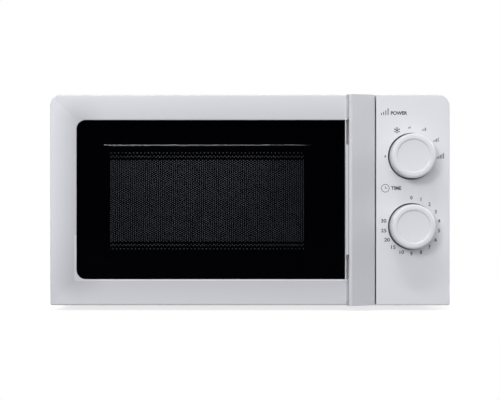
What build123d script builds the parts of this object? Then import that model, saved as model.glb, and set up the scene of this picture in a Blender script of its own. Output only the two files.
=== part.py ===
from build123d import *
import os

os.makedirs("parts", exist_ok=True)

# A countertop microwave oven with two dials, in millimetres.
# +Z is up, the door and the control panel face -Y, and the origin lies on the
# table under the centre of the bounding box.

# ---------------------------------------------------------------- driving sizes
width = 452.0
height = 244.0
body_depth = 315.0            # from the door's face to the rear panel's face
knob_proud = 24.0             # knobs in front of the door's face
gland_proud = 6.0             # cord gland behind the rear panel
foot_height = 10.0
front_clearance = 6.0         # table to the lower edge of door and panel
top_corner_radius = 12.0
bottom_corner_radius = 2.0
edge_round = 1.2              # rounding of the front's outer edges
dish_inset = 2.2              # door's outline to the shallow dish round the window
dish_depth = 1.2

sheet = 1.0                   # steel sheet of the cabinet
wall = 2.5                    # moulded plastic of door and panel
cover_inset = 3.0             # cabinet cover inside the outline of the front
cover_corner_radius = 10.0

panel_width = 83.3
door_panel_gap = 1.5
door_depth = 27.0
door_gap = 2.5                # running gap behind the door

cavity_left_margin = 30.5     # cabinet outline to the cavity's left wall
cavity_top_margin = 13.0      # cabinet outline to the cavity's ceiling
cavity_rear_margin = 9.5      # rear panel's face to the cavity's back wall
cavity_floor_height = 31.0
bay_width = 119.5             # cavity's right wall to the cabinet's outline
cavity_corner_radius = 8.0

window_left_margin = 29.5
window_bottom_margin = 29.2
window_top_margin = 28.3
window_lip_gap = 1.2          # window's right edge to the grip strip
window_corner_radius = 10.5

glass_thickness = 3.0
glass_overlap = 4.5
mesh_margins = (36.1, 44.9, 33.2, 35.9)   # window's left, right, lower and upper edge to the mesh
plateau_margin = 8.0
plateau_corner_radius = 5.0
plateau_front_gap = 2.0       # glass to the raised field of the screen
screen_depth_in_door = 12.5   # door face to the screen's base plane
choke_lip = 0.6               # front plate to the choke cover

lip_proud = 12.0              # grip strip in front of the door's face
lip_nose = 3.0
lip_round = 1.6
lip_left_width = 32.1         # grip strip's width on the door
grip_channel_depth = 10.5
grip_channel_width = 17.4
rib_width = 1.0
lip_setback = 2.4             # lip's edge to the strip's flank, along the finger channel
tab_height = 124.4
tab_thickness = 2.5

knob_radius = 25.4
knob_disc_radius = 19.6
knob_disc_depth = 3.0
knob_rim_radius = 2.6
well_radius = 26.5
well_depth = 6.0
knob_axis_inset = 43.4        # cabinet's right outline to the knobs' axes
power_axis_drop = 69.6        # top outline to the power knob's axis
knob_pitch = 79.3
shaft_radius = 3.0
running_clearance = 0.05
moving_gap = 0.3

hinge_inset = 9.0             # door's left outline to the hinge axis
hinge_setback = 14.5          # door's face to the hinge axis
hinge_pin_radius = 3.0
hinge_pin_length = 10.0
hinge_boss_radius = 6.0
hinge_plate = 2.0
hinge_low_gap = 3.5           # door's inner lower edge to the hinge plate

plate_radius = 122.5
plate_thickness = 4.0
plate_height_over_floor = 16.0
roller_track_inset = 30.5     # plate's rim to the rollers' track
roller_width = 6.0
roller_stub_radius = 1.5
ring_roller_gap = 5.0         # ring's outer edge to the rollers
ring_width = 6.0
ring_thickness = 5.0
coupler_radius = 11.0
coupler_shaft_radius = 3.5
motor_radius = 25.0
motor_height = 14.0

foot_radius = 11.0
foot_front_setback = 88.5
foot_rear_setback = 32.0
foot_side_inset = 50.0

# ---------------------------------------------------------------- shared places
left = -width / 2
right = width / 2
front = knob_proud - (knob_proud + body_depth + gland_proud) / 2
rear = front + body_depth
door_bottom = front_clearance
door_top = height
panel_left = right - panel_width
door_left = left
door_right = panel_left - door_panel_gap
door_back = front + door_depth
plate_front = door_back + door_gap
plate_back = plate_front + sheet
front_inner = front + wall

base_bottom = foot_height
base_top = base_bottom + sheet
cover_left = left + cover_inset
cover_right = right - cover_inset
cover_top = height - cover_inset
inner_left = cover_left + sheet
inner_right = cover_right - sheet
inner_top = cover_top - sheet
rear_inner = rear - sheet

cavity_left = left + cavity_left_margin
cavity_right = right - bay_width
cavity_front = plate_back
cavity_back = rear - cavity_rear_margin
cavity_floor = cavity_floor_height
cavity_ceiling = height - cavity_top_margin
cavity_width = cavity_right - cavity_left
cavity_height = cavity_ceiling - cavity_floor
cavity_depth = cavity_back - cavity_front
cavity_x = (cavity_left + cavity_right) / 2
cavity_y = (cavity_front + cavity_back) / 2
bay_left = cavity_right + sheet

lip_left = door_right - lip_left_width
window_left = door_left + window_left_margin
window_right = lip_left - window_lip_gap
window_bottom = door_bottom + window_bottom_margin
window_top = door_top - window_top_margin
window_width = window_right - window_left
window_height = window_top - window_bottom

hinge_x = door_left + hinge_inset
hinge_y = front + hinge_setback
knob_x = right - knob_axis_inset
power_axis_height = height - power_axis_drop
timer_axis_height = power_axis_height - knob_pitch
knob_front = front - knob_proud
well_floor = front + well_depth


def at_y(y):
    """Front-view plane at depth y: local x is +X, local y is +Z, extrusions run forwards."""
    return Plane.XZ.offset(-y)


def at_z(z):
    """Level plane at height z."""
    return Plane.XY.offset(z)


def at_x(x):
    """Side-view plane at x: local x is +Y, local y is +Z, extrusions run to the right."""
    return Plane.YZ.offset(x)


def block(x, y, z, mode=Mode.ADD):
    """A box given by its two limits along each axis."""
    with Locations(((x[0] + x[1]) / 2, (y[0] + y[1]) / 2, (z[0] + z[1]) / 2)):
        Box(x[1] - x[0], y[1] - y[0], z[1] - z[0], mode=mode)


def rod_y(x, z, y, radius, mode=Mode.ADD):
    """A round bar along Y between its two limits."""
    with Locations(Location((x, (y[0] + y[1]) / 2, z), (90, 0, 0))):
        Cylinder(radius, y[1] - y[0], mode=mode)


def rod_z(x, y, z, radius, mode=Mode.ADD):
    """A round bar along Z between its two limits."""
    with Locations((x, y, (z[0] + z[1]) / 2)):
        Cylinder(radius, z[1] - z[0], mode=mode)


def rod_x(y, z, x, radius, mode=Mode.ADD):
    """A round bar along X between its two limits."""
    with Locations(Location(((x[0] + x[1]) / 2, y, z), (0, 90, 0))):
        Cylinder(radius, x[1] - x[0], mode=mode)


def middle(limits):
    """Centre of two limits."""
    return (limits[0] + limits[1]) / 2


def span(limits):
    """Distance between two limits."""
    return limits[1] - limits[0]


# ---------------------------------------------------------------- cabinet
base_x = (inner_left, inner_right)
base_y = (plate_front, rear)
foot_places = [
    (x, y)
    for x in (left + foot_side_inset, right - foot_side_inset)
    for y in (front + foot_front_setback, rear - foot_rear_setback)
]

with BuildPart() as base_plate:
    block(base_x, base_y, (base_bottom, base_top))
    with Locations(at_z(base_top)):
        with Locations((cavity_x, cavity_y)):
            with PolarLocations(motor_radius + 14, 10):
                Hole(4.0)
base_plate.part.label = "base_plate"
export_step(base_plate.part, "parts/base_plate.step")

foot_taper = 1.5
with BuildPart() as feet:
    with Locations(*[(x, y, foot_height / 2) for x, y in foot_places]):
        Cone(foot_radius - foot_taper, foot_radius, foot_height)
feet.part.label = "feet"
export_step(feet.part, "parts/feet.step")

vent_slot_length = 26.0
vent_slot_width = 3.0
vent_pitch = 8.0
side_vent_count = 9
side_vent_y = rear - 95.0
side_vent_z = cover_top - 55.0
cover_depth = rear - plate_front
with BuildPart() as outer_cover:
    with BuildSketch(at_y(rear)):
        with Locations((0, middle((base_bottom, cover_top)))):
            Rectangle(cover_right - cover_left, cover_top - base_bottom)
        fillet(vertices().group_by(Axis.Y)[-1], cover_corner_radius)
    extrude(amount=cover_depth)
    with BuildSketch(at_y(rear)):
        with Locations((0, middle((base_bottom, inner_top)))):
            Rectangle(inner_right - inner_left, inner_top - base_bottom)
        fillet(vertices().group_by(Axis.Y)[-1], cover_corner_radius - sheet)
    extrude(amount=cover_depth, mode=Mode.SUBTRACT)
    with BuildSketch(at_x(cover_left - sheet)):
        with Locations((side_vent_y, side_vent_z)):
            with GridLocations(vent_pitch, vent_slot_length + 10, side_vent_count, 2):
                SlotOverall(vent_slot_length, vent_slot_width, rotation=90)
    extrude(amount=width, mode=Mode.SUBTRACT)
outer_cover.part.label = "outer_cover"
export_step(outer_cover.part, "parts/outer_cover.step")

# Rear panel between the cover's walls, with the fan's intake and a cable hole.
fan_right_inset = 57.5
fan_top_inset = 101.0
fan_x = right - fan_right_inset
fan_z = inner_top - fan_top_inset
gland_x = right - 36.0
gland_z = 40.0
gland_radius = 8.0
gland_flange_radius = 10.0
cord_hole_radius = 4.0
exhaust_x = left + 90.0
with BuildPart() as rear_panel:
    with BuildSketch(at_y(rear)):
        with Locations((0, middle((base_top, inner_top)))):
            Rectangle(inner_right - inner_left, inner_top - base_top)
        fillet(vertices().group_by(Axis.Y)[-1], cover_corner_radius - sheet + moving_gap)
        with Locations((fan_x, fan_z), (exhaust_x, fan_z)):
            with GridLocations(vent_pitch, vent_slot_length + 5, side_vent_count, 2):
                SlotOverall(vent_slot_length, vent_slot_width, rotation=90, mode=Mode.SUBTRACT)
        with Locations((gland_x, gland_z)):
            Circle(gland_radius, mode=Mode.SUBTRACT)
    extrude(amount=sheet)
rear_panel.part.label = "rear_panel"
export_step(rear_panel.part, "parts/rear_panel.step")

gland_depth = 7.0
with BuildPart() as cord_gland:
    rod_y(gland_x, gland_z, (rear, rear + gland_proud), gland_flange_radius)
    rod_y(gland_x, gland_z, (rear_inner - gland_depth, rear), gland_radius - running_clearance)
    rod_y(gland_x, gland_z, (rear_inner - gland_depth, rear + gland_proud), cord_hole_radius,
          mode=Mode.SUBTRACT)
    fillet(edges().filter_by(GeomType.CIRCLE).sort_by(Axis.Y)[-1], 1.5)
cord_gland.part.label = "cord_gland"
export_step(cord_gland.part, "parts/cord_gland.step")

screw_radius = 3.6
screw_head = 1.5
screw_inset = 12.0
with BuildPart() as cover_screws:
    for x in (inner_left + screw_inset, exhaust_x + 90, inner_right - screw_inset):
        for z in (base_top + screw_inset, inner_top - screw_inset):
            rod_y(x, z, (rear, rear + screw_head), screw_radius)
            with BuildSketch(at_y(rear + screw_head)):
                with Locations((x, z)):
                    Rectangle(0.8, 1.5 * screw_radius)
                    Rectangle(1.5 * screw_radius, 0.8)
            extrude(amount=0.9, mode=Mode.SUBTRACT)
cover_screws.part.label = "cover_screws"
export_step(cover_screws.part, "parts/cover_screws.step")

# ---------------------------------------------------------------- cavity
latch_x = door_right - 13.2
hook_width = 3.0
hook_height = 6.0
hook_drop = 4.0               # travel that hooks the nose behind its ledge
hook_bottom_inset = 52.0
hook_top_inset = 51.0
hook_bottoms = (door_bottom + hook_bottom_inset, door_top - hook_top_inset)
slot_x = (latch_x - hook_width / 2 - 2, latch_x + hook_width / 2 + 2)
unit_size = 38.0
unit_hole = unit_size + 2

with BuildPart() as front_plate:
    with BuildSketch(at_y(plate_back)):
        with Locations((0, middle((base_top, inner_top)))):
            Rectangle(inner_right - inner_left, inner_top - base_top)
        fillet(vertices().group_by(Axis.Y)[-1], cover_corner_radius - sheet + moving_gap)
        with Locations((cavity_x, middle((cavity_floor, cavity_ceiling)))):
            RectangleRounded(cavity_width, cavity_height, cavity_corner_radius, mode=Mode.SUBTRACT)
        with Locations((knob_x, timer_axis_height), (knob_x, power_axis_height)):
            Rectangle(unit_hole, unit_hole, mode=Mode.SUBTRACT)
    extrude(amount=sheet)
    for bottom in hook_bottoms:
        slot_z = (bottom - hook_drop - moving_gap, bottom + hook_height + moving_gap)
        block(slot_x, (plate_front - 1, plate_back + 1), slot_z, mode=Mode.SUBTRACT)
front_plate.part.label = "front_plate"
export_step(front_plate.part, "parts/front_plate.step")

magnetron_y = cavity_y + 10.5
magnetron_z = fan_z
port_y = (magnetron_y - 41, magnetron_y + 41)
port_z = (magnetron_z - 21, magnetron_z + 21)
lamp_y = cavity_front + 56.0
lamp_z = cavity_ceiling - 28.0
duct_length = 42.0
yoke_half_width = 38.0
duct_y = (magnetron_y - yoke_half_width - duct_length, magnetron_y - yoke_half_width)
duct_half_height = 35.0
duct_z = (magnetron_z - duct_half_height, magnetron_z + duct_half_height)
perforation_radius = 1.5
perforation_pitch = 5.0
exhaust_y = cavity_back - 60.0
exhaust_z = cavity_ceiling - 35.0
with BuildPart() as cavity_box:
    with BuildSketch(at_y(cavity_back + sheet)):
        with Locations((cavity_x, middle((cavity_floor, cavity_ceiling)))):
            RectangleRounded(cavity_width + 2 * sheet, cavity_height + 2 * sheet,
                             cavity_corner_radius + sheet)
    extrude(amount=cavity_depth + sheet)
    with BuildSketch(at_y(cavity_back)):
        with Locations((cavity_x, middle((cavity_floor, cavity_ceiling)))):
            RectangleRounded(cavity_width, cavity_height, cavity_corner_radius)
    extrude(amount=cavity_depth, mode=Mode.SUBTRACT)
    block((cavity_right - 1, bay_left + 1), port_y, port_z, mode=Mode.SUBTRACT)
    rod_z(cavity_x, cavity_y, (cavity_floor - 2, cavity_floor + 1), coupler_shaft_radius + 0.6,
          mode=Mode.SUBTRACT)
    with BuildSketch(at_x(cavity_right - 1)):
        with Locations((lamp_y, lamp_z)):
            with GridLocations(perforation_pitch, perforation_pitch, 4, 4):
                Circle(perforation_radius)
        with Locations((middle(duct_y), magnetron_z)):
            with GridLocations(perforation_pitch, perforation_pitch, 6, 6):
                Circle(perforation_radius)
    extrude(amount=3, mode=Mode.SUBTRACT)
    with BuildSketch(at_x(cavity_left - 2)):
        with Locations((exhaust_y, exhaust_z)):
            with GridLocations(perforation_pitch, perforation_pitch, 8, 4):
                Circle(perforation_radius)
    extrude(amount=3, mode=Mode.SUBTRACT)
cavity_box.part.label = "cavity_box"
export_step(cavity_box.part, "parts/cavity_box.step")

cover_lap = 6.0
with BuildPart() as waveguide_cover:
    block((cavity_right - 1, cavity_right), (port_y[0] - cover_lap, port_y[1] + cover_lap),
          (port_z[0] - cover_lap, port_z[1] + cover_lap))
    fillet(edges().filter_by(Axis.X), 3)
waveguide_cover.part.label = "waveguide_cover"
export_step(waveguide_cover.part, "parts/waveguide_cover.step")

# ---------------------------------------------------------------- turntable
motor_top = cavity_floor - sheet
motor_bottom = motor_top - motor_height
shaft_end = motor_bottom + 2
plate_bottom = cavity_floor + plate_height_over_floor
with BuildPart() as turntable_motor:
    rod_z(cavity_x, cavity_y, (motor_bottom, motor_top), motor_radius)
    block((cavity_x - motor_radius - 8, cavity_x + motor_radius + 8),
          (cavity_y - 6, cavity_y + 6), (motor_top - 1.5, motor_top))
    block((cavity_x - 9, cavity_x + 9), (cavity_y + motor_radius - 2, cavity_y + motor_radius + 8),
          (motor_bottom + 3, motor_top - 3))
    rod_z(cavity_x, cavity_y, (shaft_end - moving_gap, motor_top),
          coupler_shaft_radius + running_clearance,
          mode=Mode.SUBTRACT)
turntable_motor.part.label = "turntable_motor"
export_step(turntable_motor.part, "parts/turntable_motor.step")

coupler_flange = (cavity_floor + moving_gap, cavity_floor + 3)
coupler_top = plate_bottom - moving_gap
lobe_radius = 3.0
lobe_distance = 9.0
with BuildPart() as drive_coupler:
    rod_z(cavity_x, cavity_y, (shaft_end, coupler_flange[0]), coupler_shaft_radius)
    rod_z(cavity_x, cavity_y, coupler_flange, coupler_radius)
    with BuildSketch(at_z(coupler_flange[1])):
        with Locations((cavity_x, cavity_y)):
            Circle(coupler_radius - 4)
            with PolarLocations(lobe_distance, 3, start_angle=90):
                Circle(lobe_radius)
            with PolarLocations(lobe_distance / 2, 3, start_angle=90):
                Rectangle(lobe_distance, 2 * lobe_radius)
    extrude(amount=coupler_top - coupler_flange[1])
drive_coupler.part.label = "drive_coupler"
export_step(drive_coupler.part, "parts/drive_coupler.step")

plate_flat_radius = plate_radius - 22.5
plate_rim_rise = 8.0
stud_distance = 12.0
stud_radius = 2.5
stud_length = 5.0
plate_top = plate_bottom + plate_thickness
with BuildPart() as glass_plate:
    with BuildSketch(Plane(origin=(cavity_x, cavity_y, 0), x_dir=(1, 0, 0), z_dir=(0, -1, 0))):
        with BuildLine():
            Polyline(
                (0, plate_bottom),
                (plate_flat_radius, plate_bottom),
                (plate_radius, plate_bottom + plate_rim_rise),
                (plate_radius, plate_bottom + plate_rim_rise + plate_thickness),
                (plate_radius - 2, plate_bottom + plate_rim_rise + plate_thickness),
                (plate_flat_radius - 1, plate_top),
                (0, plate_top),
                close=True,
            )
        make_face()
    revolve(axis=Axis((cavity_x, cavity_y, 0), (0, 0, 1)))
    with BuildSketch(at_z(plate_bottom)):
        with Locations((cavity_x, cavity_y)):
            with PolarLocations(stud_distance, 3, start_angle=30):
                Circle(stud_radius)
    extrude(amount=-stud_length)
glass_plate.part.label = "glass_plate"
export_step(glass_plate.part, "parts/glass_plate.step")

roller_count = 3
roller_track_radius = plate_radius - roller_track_inset
ring_outer_radius = roller_track_radius - roller_width / 2 - ring_roller_gap
ring_inner_radius = ring_outer_radius - ring_width
roller_radius = plate_height_over_floor / 2 - moving_gap
roller_z = cavity_floor + plate_height_over_floor / 2
stub_end = roller_track_radius + roller_width / 2 + moving_gap
stub_cap = 1.5
roller_angles = [360 / roller_count * i for i in range(roller_count)]


def radial_plane(angle, distance):
    """Plane square to a spoke of the roller ring, facing outwards, at a distance from the centre."""
    turn = Vector(1, 0, 0).rotate(Axis.Z, angle)
    return Plane(
        origin=Vector(cavity_x, cavity_y, roller_z) + turn * distance,
        x_dir=Vector(0, 1, 0).rotate(Axis.Z, angle),
        z_dir=turn,
    )


with BuildPart() as roller_ring:
    with BuildSketch(at_z(roller_z - ring_thickness / 2)):
        with Locations((cavity_x, cavity_y)):
            Circle(ring_outer_radius)
            Circle(ring_inner_radius, mode=Mode.SUBTRACT)
    extrude(amount=ring_thickness)
    for angle in roller_angles:
        with BuildSketch(radial_plane(angle, middle((ring_inner_radius, ring_outer_radius)))):
            Circle(roller_stub_radius)
        extrude(amount=stub_end - middle((ring_inner_radius, ring_outer_radius)))
        with BuildSketch(radial_plane(angle, stub_end)):
            Circle(roller_stub_radius + 1)
        extrude(amount=stub_cap)
roller_ring.part.label = "roller_ring"
export_step(roller_ring.part, "parts/roller_ring.step")

for number, angle in enumerate(roller_angles, start=1):
    with BuildPart() as roller:
        with BuildSketch(radial_plane(angle, roller_track_radius - roller_width / 2)):
            Circle(roller_radius)
            Circle(roller_stub_radius + running_clearance, mode=Mode.SUBTRACT)
        extrude(amount=roller_width)
    roller.part.label = f"roller_{number}"
    export_step(roller.part, f"parts/roller_{number}.step")

# ---------------------------------------------------------------- microwave source
guide_width = 31.0
guide_lap = 8.0
guide_x = (bay_left, bay_left + guide_width)
antenna_hole = 9.0
antenna_radius = 7.0
with BuildPart() as waveguide:
    block(guide_x, (port_y[0] - guide_lap, port_y[1] + guide_lap),
          (port_z[0] - guide_lap, port_z[1] + guide_lap))
    block((guide_x[0], guide_x[1] - sheet),
          (port_y[0] - guide_lap + sheet, port_y[1] + guide_lap - sheet),
          (port_z[0] - guide_lap + sheet, port_z[1] + guide_lap - sheet), mode=Mode.SUBTRACT)
    rod_x(magnetron_y, magnetron_z, (guide_x[1] - 2, guide_x[1] + 1), antenna_hole, mode=Mode.SUBTRACT)
waveguide.part.label = "waveguide"
export_step(waveguide.part, "parts/waveguide.step")

yoke_wall = 2.0
yoke_length = bay_width - 59.5
yoke_x = (guide_x[1], guide_x[1] + yoke_length)
yoke_y = (magnetron_y - yoke_half_width, magnetron_y + yoke_half_width)
yoke_z = (magnetron_z - 39, magnetron_z + 39)
yoke_inside = (yoke_x[0] + yoke_wall, yoke_x[1] - yoke_wall)
filter_depth = 20.0           # filter box crimped to the yoke's far side
filter_x = (yoke_x[1], yoke_x[1] + filter_depth)
magnet_radius = 27.0
magnet_depth = 10.5
magnet_bore = 10.0
anode_radius = 19.0
anode_x = (yoke_inside[0] + magnet_depth, yoke_inside[1] - magnet_depth)
with BuildPart() as magnetron_yoke:
    block(yoke_x, yoke_y, yoke_z)
    block(yoke_inside, (yoke_y[0] - 1, yoke_y[1] + 1), (yoke_z[0] + yoke_wall, yoke_z[1] - yoke_wall),
          mode=Mode.SUBTRACT)
    rod_x(magnetron_y, magnetron_z, (yoke_x[0] - 1, yoke_inside[0] + 1), antenna_hole, mode=Mode.SUBTRACT)
    block(filter_x, (yoke_y[0] + 3, yoke_y[1] - 3), (yoke_z[0] + 5, yoke_z[1] - 5))
    block((filter_x[0], filter_x[1] - sheet), (yoke_y[0] + 4, yoke_y[1] - 4),
          (yoke_z[0] + 6, yoke_z[1] - 6), mode=Mode.SUBTRACT)
    block((filter_x[0] + 5, filter_x[1] - 3), (magnetron_y - 12, magnetron_y + 12),
          (yoke_z[0] - 3, yoke_z[0] + 5))
magnetron_yoke.part.label = "magnetron_yoke"
export_step(magnetron_yoke.part, "parts/magnetron_yoke.step")

with BuildPart() as magnetron_magnets:
    for limits in ((yoke_inside[0], anode_x[0]), (anode_x[1], yoke_inside[1])):
        with BuildSketch(at_x(limits[0])):
            with Locations((magnetron_y, magnetron_z)):
                Circle(magnet_radius)
                Circle(magnet_bore, mode=Mode.SUBTRACT)
        extrude(amount=span(limits))
magnetron_magnets.part.label = "magnetron_magnets"
export_step(magnetron_magnets.part, "parts/magnetron_magnets.step")

fin_count = 5
fin_thickness = 0.8
fin_pitch = span(anode_x) / fin_count
with BuildPart() as magnetron_fins:
    for i in range(fin_count):
        with BuildSketch(at_x(anode_x[0] + (i + 0.5) * fin_pitch)):
            with Locations((magnetron_y, magnetron_z)):
                Rectangle(span(yoke_y) - 6, span(yoke_z) - 2 * yoke_wall)
                Circle(anode_radius + running_clearance, mode=Mode.SUBTRACT)
        extrude(amount=fin_thickness)
magnetron_fins.part.label = "magnetron_fins"
export_step(magnetron_fins.part, "parts/magnetron_fins.step")

antenna_reach = 20.0
with BuildPart() as magnetron_anode:
    rod_x(magnetron_y, magnetron_z, anode_x, anode_radius)
    rod_x(magnetron_y, magnetron_z, (guide_x[1] - antenna_reach, anode_x[0]), antenna_radius)
    fillet(edges().filter_by(GeomType.CIRCLE).sort_by(Axis.X)[0], 3)
magnetron_anode.part.label = "magnetron_anode"
export_step(magnetron_anode.part, "parts/magnetron_anode.step")

with BuildPart() as thermal_cutout:
    rod_z(middle(yoke_x), magnetron_y, (yoke_z[1], yoke_z[1] + 9), 8)
    block((middle(yoke_x) - 14, middle(yoke_x) + 14), (magnetron_y - 5, magnetron_y + 5),
          (yoke_z[1], yoke_z[1] + 1))
    for side in (-1, 1):
        block((middle(yoke_x) + side * 4 - 0.4, middle(yoke_x) + side * 4 + 0.4),
              (magnetron_y - 3, magnetron_y + 3), (yoke_z[1] + 8, yoke_z[1] + 17))
thermal_cutout.part.label = "thermal_cutout"
export_step(thermal_cutout.part, "parts/thermal_cutout.step")

duct_wall = 1.5
duct_x = (bay_left, yoke_x[1])
with BuildPart() as air_duct:
    block(duct_x, duct_y, duct_z)
    block((duct_x[0], duct_x[1] - duct_wall), (duct_y[0] + duct_wall, duct_y[1]),
          (duct_z[0] + duct_wall, duct_z[1] - duct_wall), mode=Mode.SUBTRACT)
air_duct.part.label = "air_duct"
export_step(air_duct.part, "parts/air_duct.step")

# ---------------------------------------------------------------- power supply
core_left_gap = 14.5
core_width = 82.0
core_x = (bay_left + core_left_gap, bay_left + core_left_gap + core_width)
core_y = (plate_back + 56, plate_back + 106)
core_foot = 2.0
core_duct_gap = 19.0          # transformer to the air duct above it
core_z = (base_top + core_foot, duct_z[0] - core_duct_gap)
limb = 26.0
core_window = 16.0
core_yoke = 12.0
core_middle = middle(core_x)
with BuildPart() as transformer_core:
    block(core_x, core_y, core_z)
    block((core_x[0] - 6, core_x[1] + 6), core_y, (base_top, core_z[0]))
    for side in (-1, 1):
        near = core_middle + side * limb / 2
        far = near + side * core_window
        block((min(near, far), max(near, far)), (core_y[0] - 1, core_y[1] + 1),
              (core_z[0] + core_yoke, core_z[1] - core_yoke), mode=Mode.SUBTRACT)
transformer_core.part.label = "transformer_core"
export_step(transformer_core.part, "parts/transformer_core.step")

winding_gap = 3.0
winding_bulge = 15.0
winding_x = (core_middle - limb / 2 - core_window + 0.5, core_middle + limb / 2 + core_window - 0.5)
winding_split = middle((core_z[0] + core_yoke, core_z[1] - core_yoke)) - 2
windings = (
    (core_z[0] + core_yoke, winding_split - winding_gap / 2),
    (winding_split + winding_gap / 2, core_z[1] - core_yoke),
)
with BuildPart() as transformer_windings:
    for limits in windings:
        block(winding_x, (core_y[0] - winding_bulge, core_y[1] + winding_bulge), limits)
    fillet(edges().filter_by(Axis.Z), 8)
    for limits in windings:
        block((core_middle - limb / 2, core_middle + limb / 2), core_y, limits, mode=Mode.SUBTRACT)
transformer_windings.part.label = "transformer_windings"
export_step(transformer_windings.part, "parts/transformer_windings.step")

can_length = 88.0
can_width = 52.0
can_height = 33.0
can_left_gap = 10.5
can_front_gap = 14.0
can_front = core_y[1] + winding_bulge + can_front_gap
can_x = (bay_left + can_left_gap, bay_left + can_left_gap + can_length)
can_y = (can_front, can_front + can_width)
can_z = (base_top, base_top + can_height)
with BuildPart() as capacitor:
    with BuildSketch(at_x(can_x[0])):
        with Locations((middle(can_y), middle(can_z))):
            SlotOverall(can_width, can_height)
    extrude(amount=can_length)
    for side in (-1, 1):
        block((can_x[0] - 8, can_x[0]), (middle(can_y) + side * 12 - 3, middle(can_y) + side * 12 + 3),
              (middle(can_z) - 0.5, middle(can_z) + 0.5))
capacitor.part.label = "capacitor"
export_step(capacitor.part, "parts/capacitor.step")

clamp_width = 12.0
clamp_foot = 10.0
clamp_gap = 0.2
clamp_x = (middle(can_x) - clamp_width / 2, middle(can_x) + clamp_width / 2)
strap_y = (can_y[0] - clamp_gap - sheet, can_y[1] + clamp_gap + sheet)
with BuildPart() as capacitor_clamp:
    block(clamp_x, strap_y, (base_top, can_z[1] + sheet))
    block(clamp_x, (strap_y[0] - clamp_foot, strap_y[1] + clamp_foot), (base_top, base_top + sheet))
    block(clamp_x, (strap_y[0] + sheet, strap_y[1] - sheet), (base_top, can_z[1]), mode=Mode.SUBTRACT)
capacitor_clamp.part.label = "capacitor_clamp"
export_step(capacitor_clamp.part, "parts/capacitor_clamp.step")

diode_radius = 4.0
diode_gap = 22.0              # capacitor to the diode's axis
diode_y = can_y[1] + diode_gap
diode_x = (can_x[0] + 6, can_x[0] + 24)
with BuildPart() as hv_diode:
    rod_x(diode_y, base_top + diode_radius, diode_x, diode_radius)
    rod_x(diode_y, base_top + diode_radius, (diode_x[1], diode_x[1] + 10), 0.8)
    block((diode_x[1] + 8, diode_x[1] + 18), (diode_y - 4, diode_y + 4),
          (base_top, base_top + diode_radius + 0.8))
hv_diode.part.label = "hv_diode"
export_step(hv_diode.part, "parts/hv_diode.step")

# ---------------------------------------------------------------- cooling fan
fan_tube_radius = 44.5
fan_tube_wall = 2.0
fan_flange = 94.0
fan_arm = (rear_inner - 44.5, rear_inner - 40.5)
fan_arm_width = 5.0
fan_shaft_radius = 2.0
with BuildPart() as fan_shroud:
    with BuildSketch(at_y(rear_inner)):
        with Locations((fan_x, fan_z)):
            RectangleRounded(fan_flange, fan_flange, 6)
            Circle(fan_tube_radius, mode=Mode.SUBTRACT)
    extrude(amount=2)
    with BuildSketch(at_y(rear_inner)):
        with Locations((fan_x, fan_z)):
            Circle(fan_tube_radius + fan_tube_wall)
            Circle(fan_tube_radius, mode=Mode.SUBTRACT)
    extrude(amount=rear_inner - fan_arm[0])
    with BuildSketch(at_y(fan_arm[1])):
        with Locations((fan_x, fan_z)):
            Rectangle(2 * fan_tube_radius + fan_tube_wall, fan_arm_width)
            Rectangle(fan_arm_width, 2 * fan_tube_radius + fan_tube_wall)
            Circle(10)
            Circle(fan_shaft_radius + running_clearance, mode=Mode.SUBTRACT)
    extrude(amount=span(fan_arm))
fan_shroud.part.label = "fan_shroud"
export_step(fan_shroud.part, "parts/fan_shroud.step")

rotor_radius = 11.5
stator_y = (fan_arm[0] - 18, fan_arm[0])
with BuildPart() as fan_motor:
    block((fan_x - 20, fan_x + 20), stator_y, (fan_z - 18, fan_z + 18))
    block((fan_x - 14, fan_x + 14), (stator_y[0] - 4, stator_y[1]), (fan_z - 36, fan_z - 18))
    rod_y(fan_x, fan_z, (stator_y[0] - 5, stator_y[1] + 1), rotor_radius + moving_gap, mode=Mode.SUBTRACT)
fan_motor.part.label = "fan_motor"
export_step(fan_motor.part, "parts/fan_motor.step")

fan_y = rear_inner - 27.0
hub_radius = 12.0
hub_y = (fan_y - 8, fan_y + 8)
with BuildPart() as fan_rotor:
    rod_y(fan_x, fan_z, (stator_y[0], stator_y[1] - 1), rotor_radius)
    rod_y(fan_x, fan_z, (stator_y[1] - 2, hub_y[1] - 2), fan_shaft_radius)
fan_rotor.part.label = "fan_rotor"
export_step(fan_rotor.part, "parts/fan_rotor.step")

blade_count = 5
blade_length = 32.0
blade_chord = 15.0
blade_pitch_angle = 35.0
with BuildPart() as fan_blades:
    rod_y(fan_x, fan_z, hub_y, hub_radius)
    with Locations(Location((fan_x, fan_y, fan_z), (90, 0, 0))):
        with PolarLocations(hub_radius - 2 + blade_length / 2, blade_count):
            with Locations(Location((0, 0, 0), (blade_pitch_angle, 0, 0))):
                Box(blade_length, blade_chord, 1.5)
    rod_y(fan_x, fan_z, (hub_y[0] - 1, hub_y[1] - 2), fan_shaft_radius + 0.01, mode=Mode.SUBTRACT)
fan_blades.part.label = "fan_blades"
export_step(fan_blades.part, "parts/fan_blades.step")

# ---------------------------------------------------------------- mains filter and lamp
bracket_z = fan_z + fan_flange / 2 + 8
board_x = (fan_x - 38, fan_x + 38)
board_y = (rear_inner - 60, rear_inner - 4)
pillar = 4.0
board_z = (bracket_z + sheet + pillar, bracket_z + sheet + pillar + 1.6)
with BuildPart() as filter_bracket:
    block(board_x, (board_y[0], rear_inner), (bracket_z, bracket_z + sheet))
    block(board_x, (rear_inner - sheet, rear_inner), (bracket_z, bracket_z + 14))
    for x in (board_x[0] + 5, board_x[1] - 5):
        for y in (board_y[0] + 5, board_y[1] - 5):
            rod_z(x, y, (bracket_z, board_z[0]), 2.5)
filter_bracket.part.label = "filter_bracket"
export_step(filter_bracket.part, "parts/filter_bracket.step")

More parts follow.
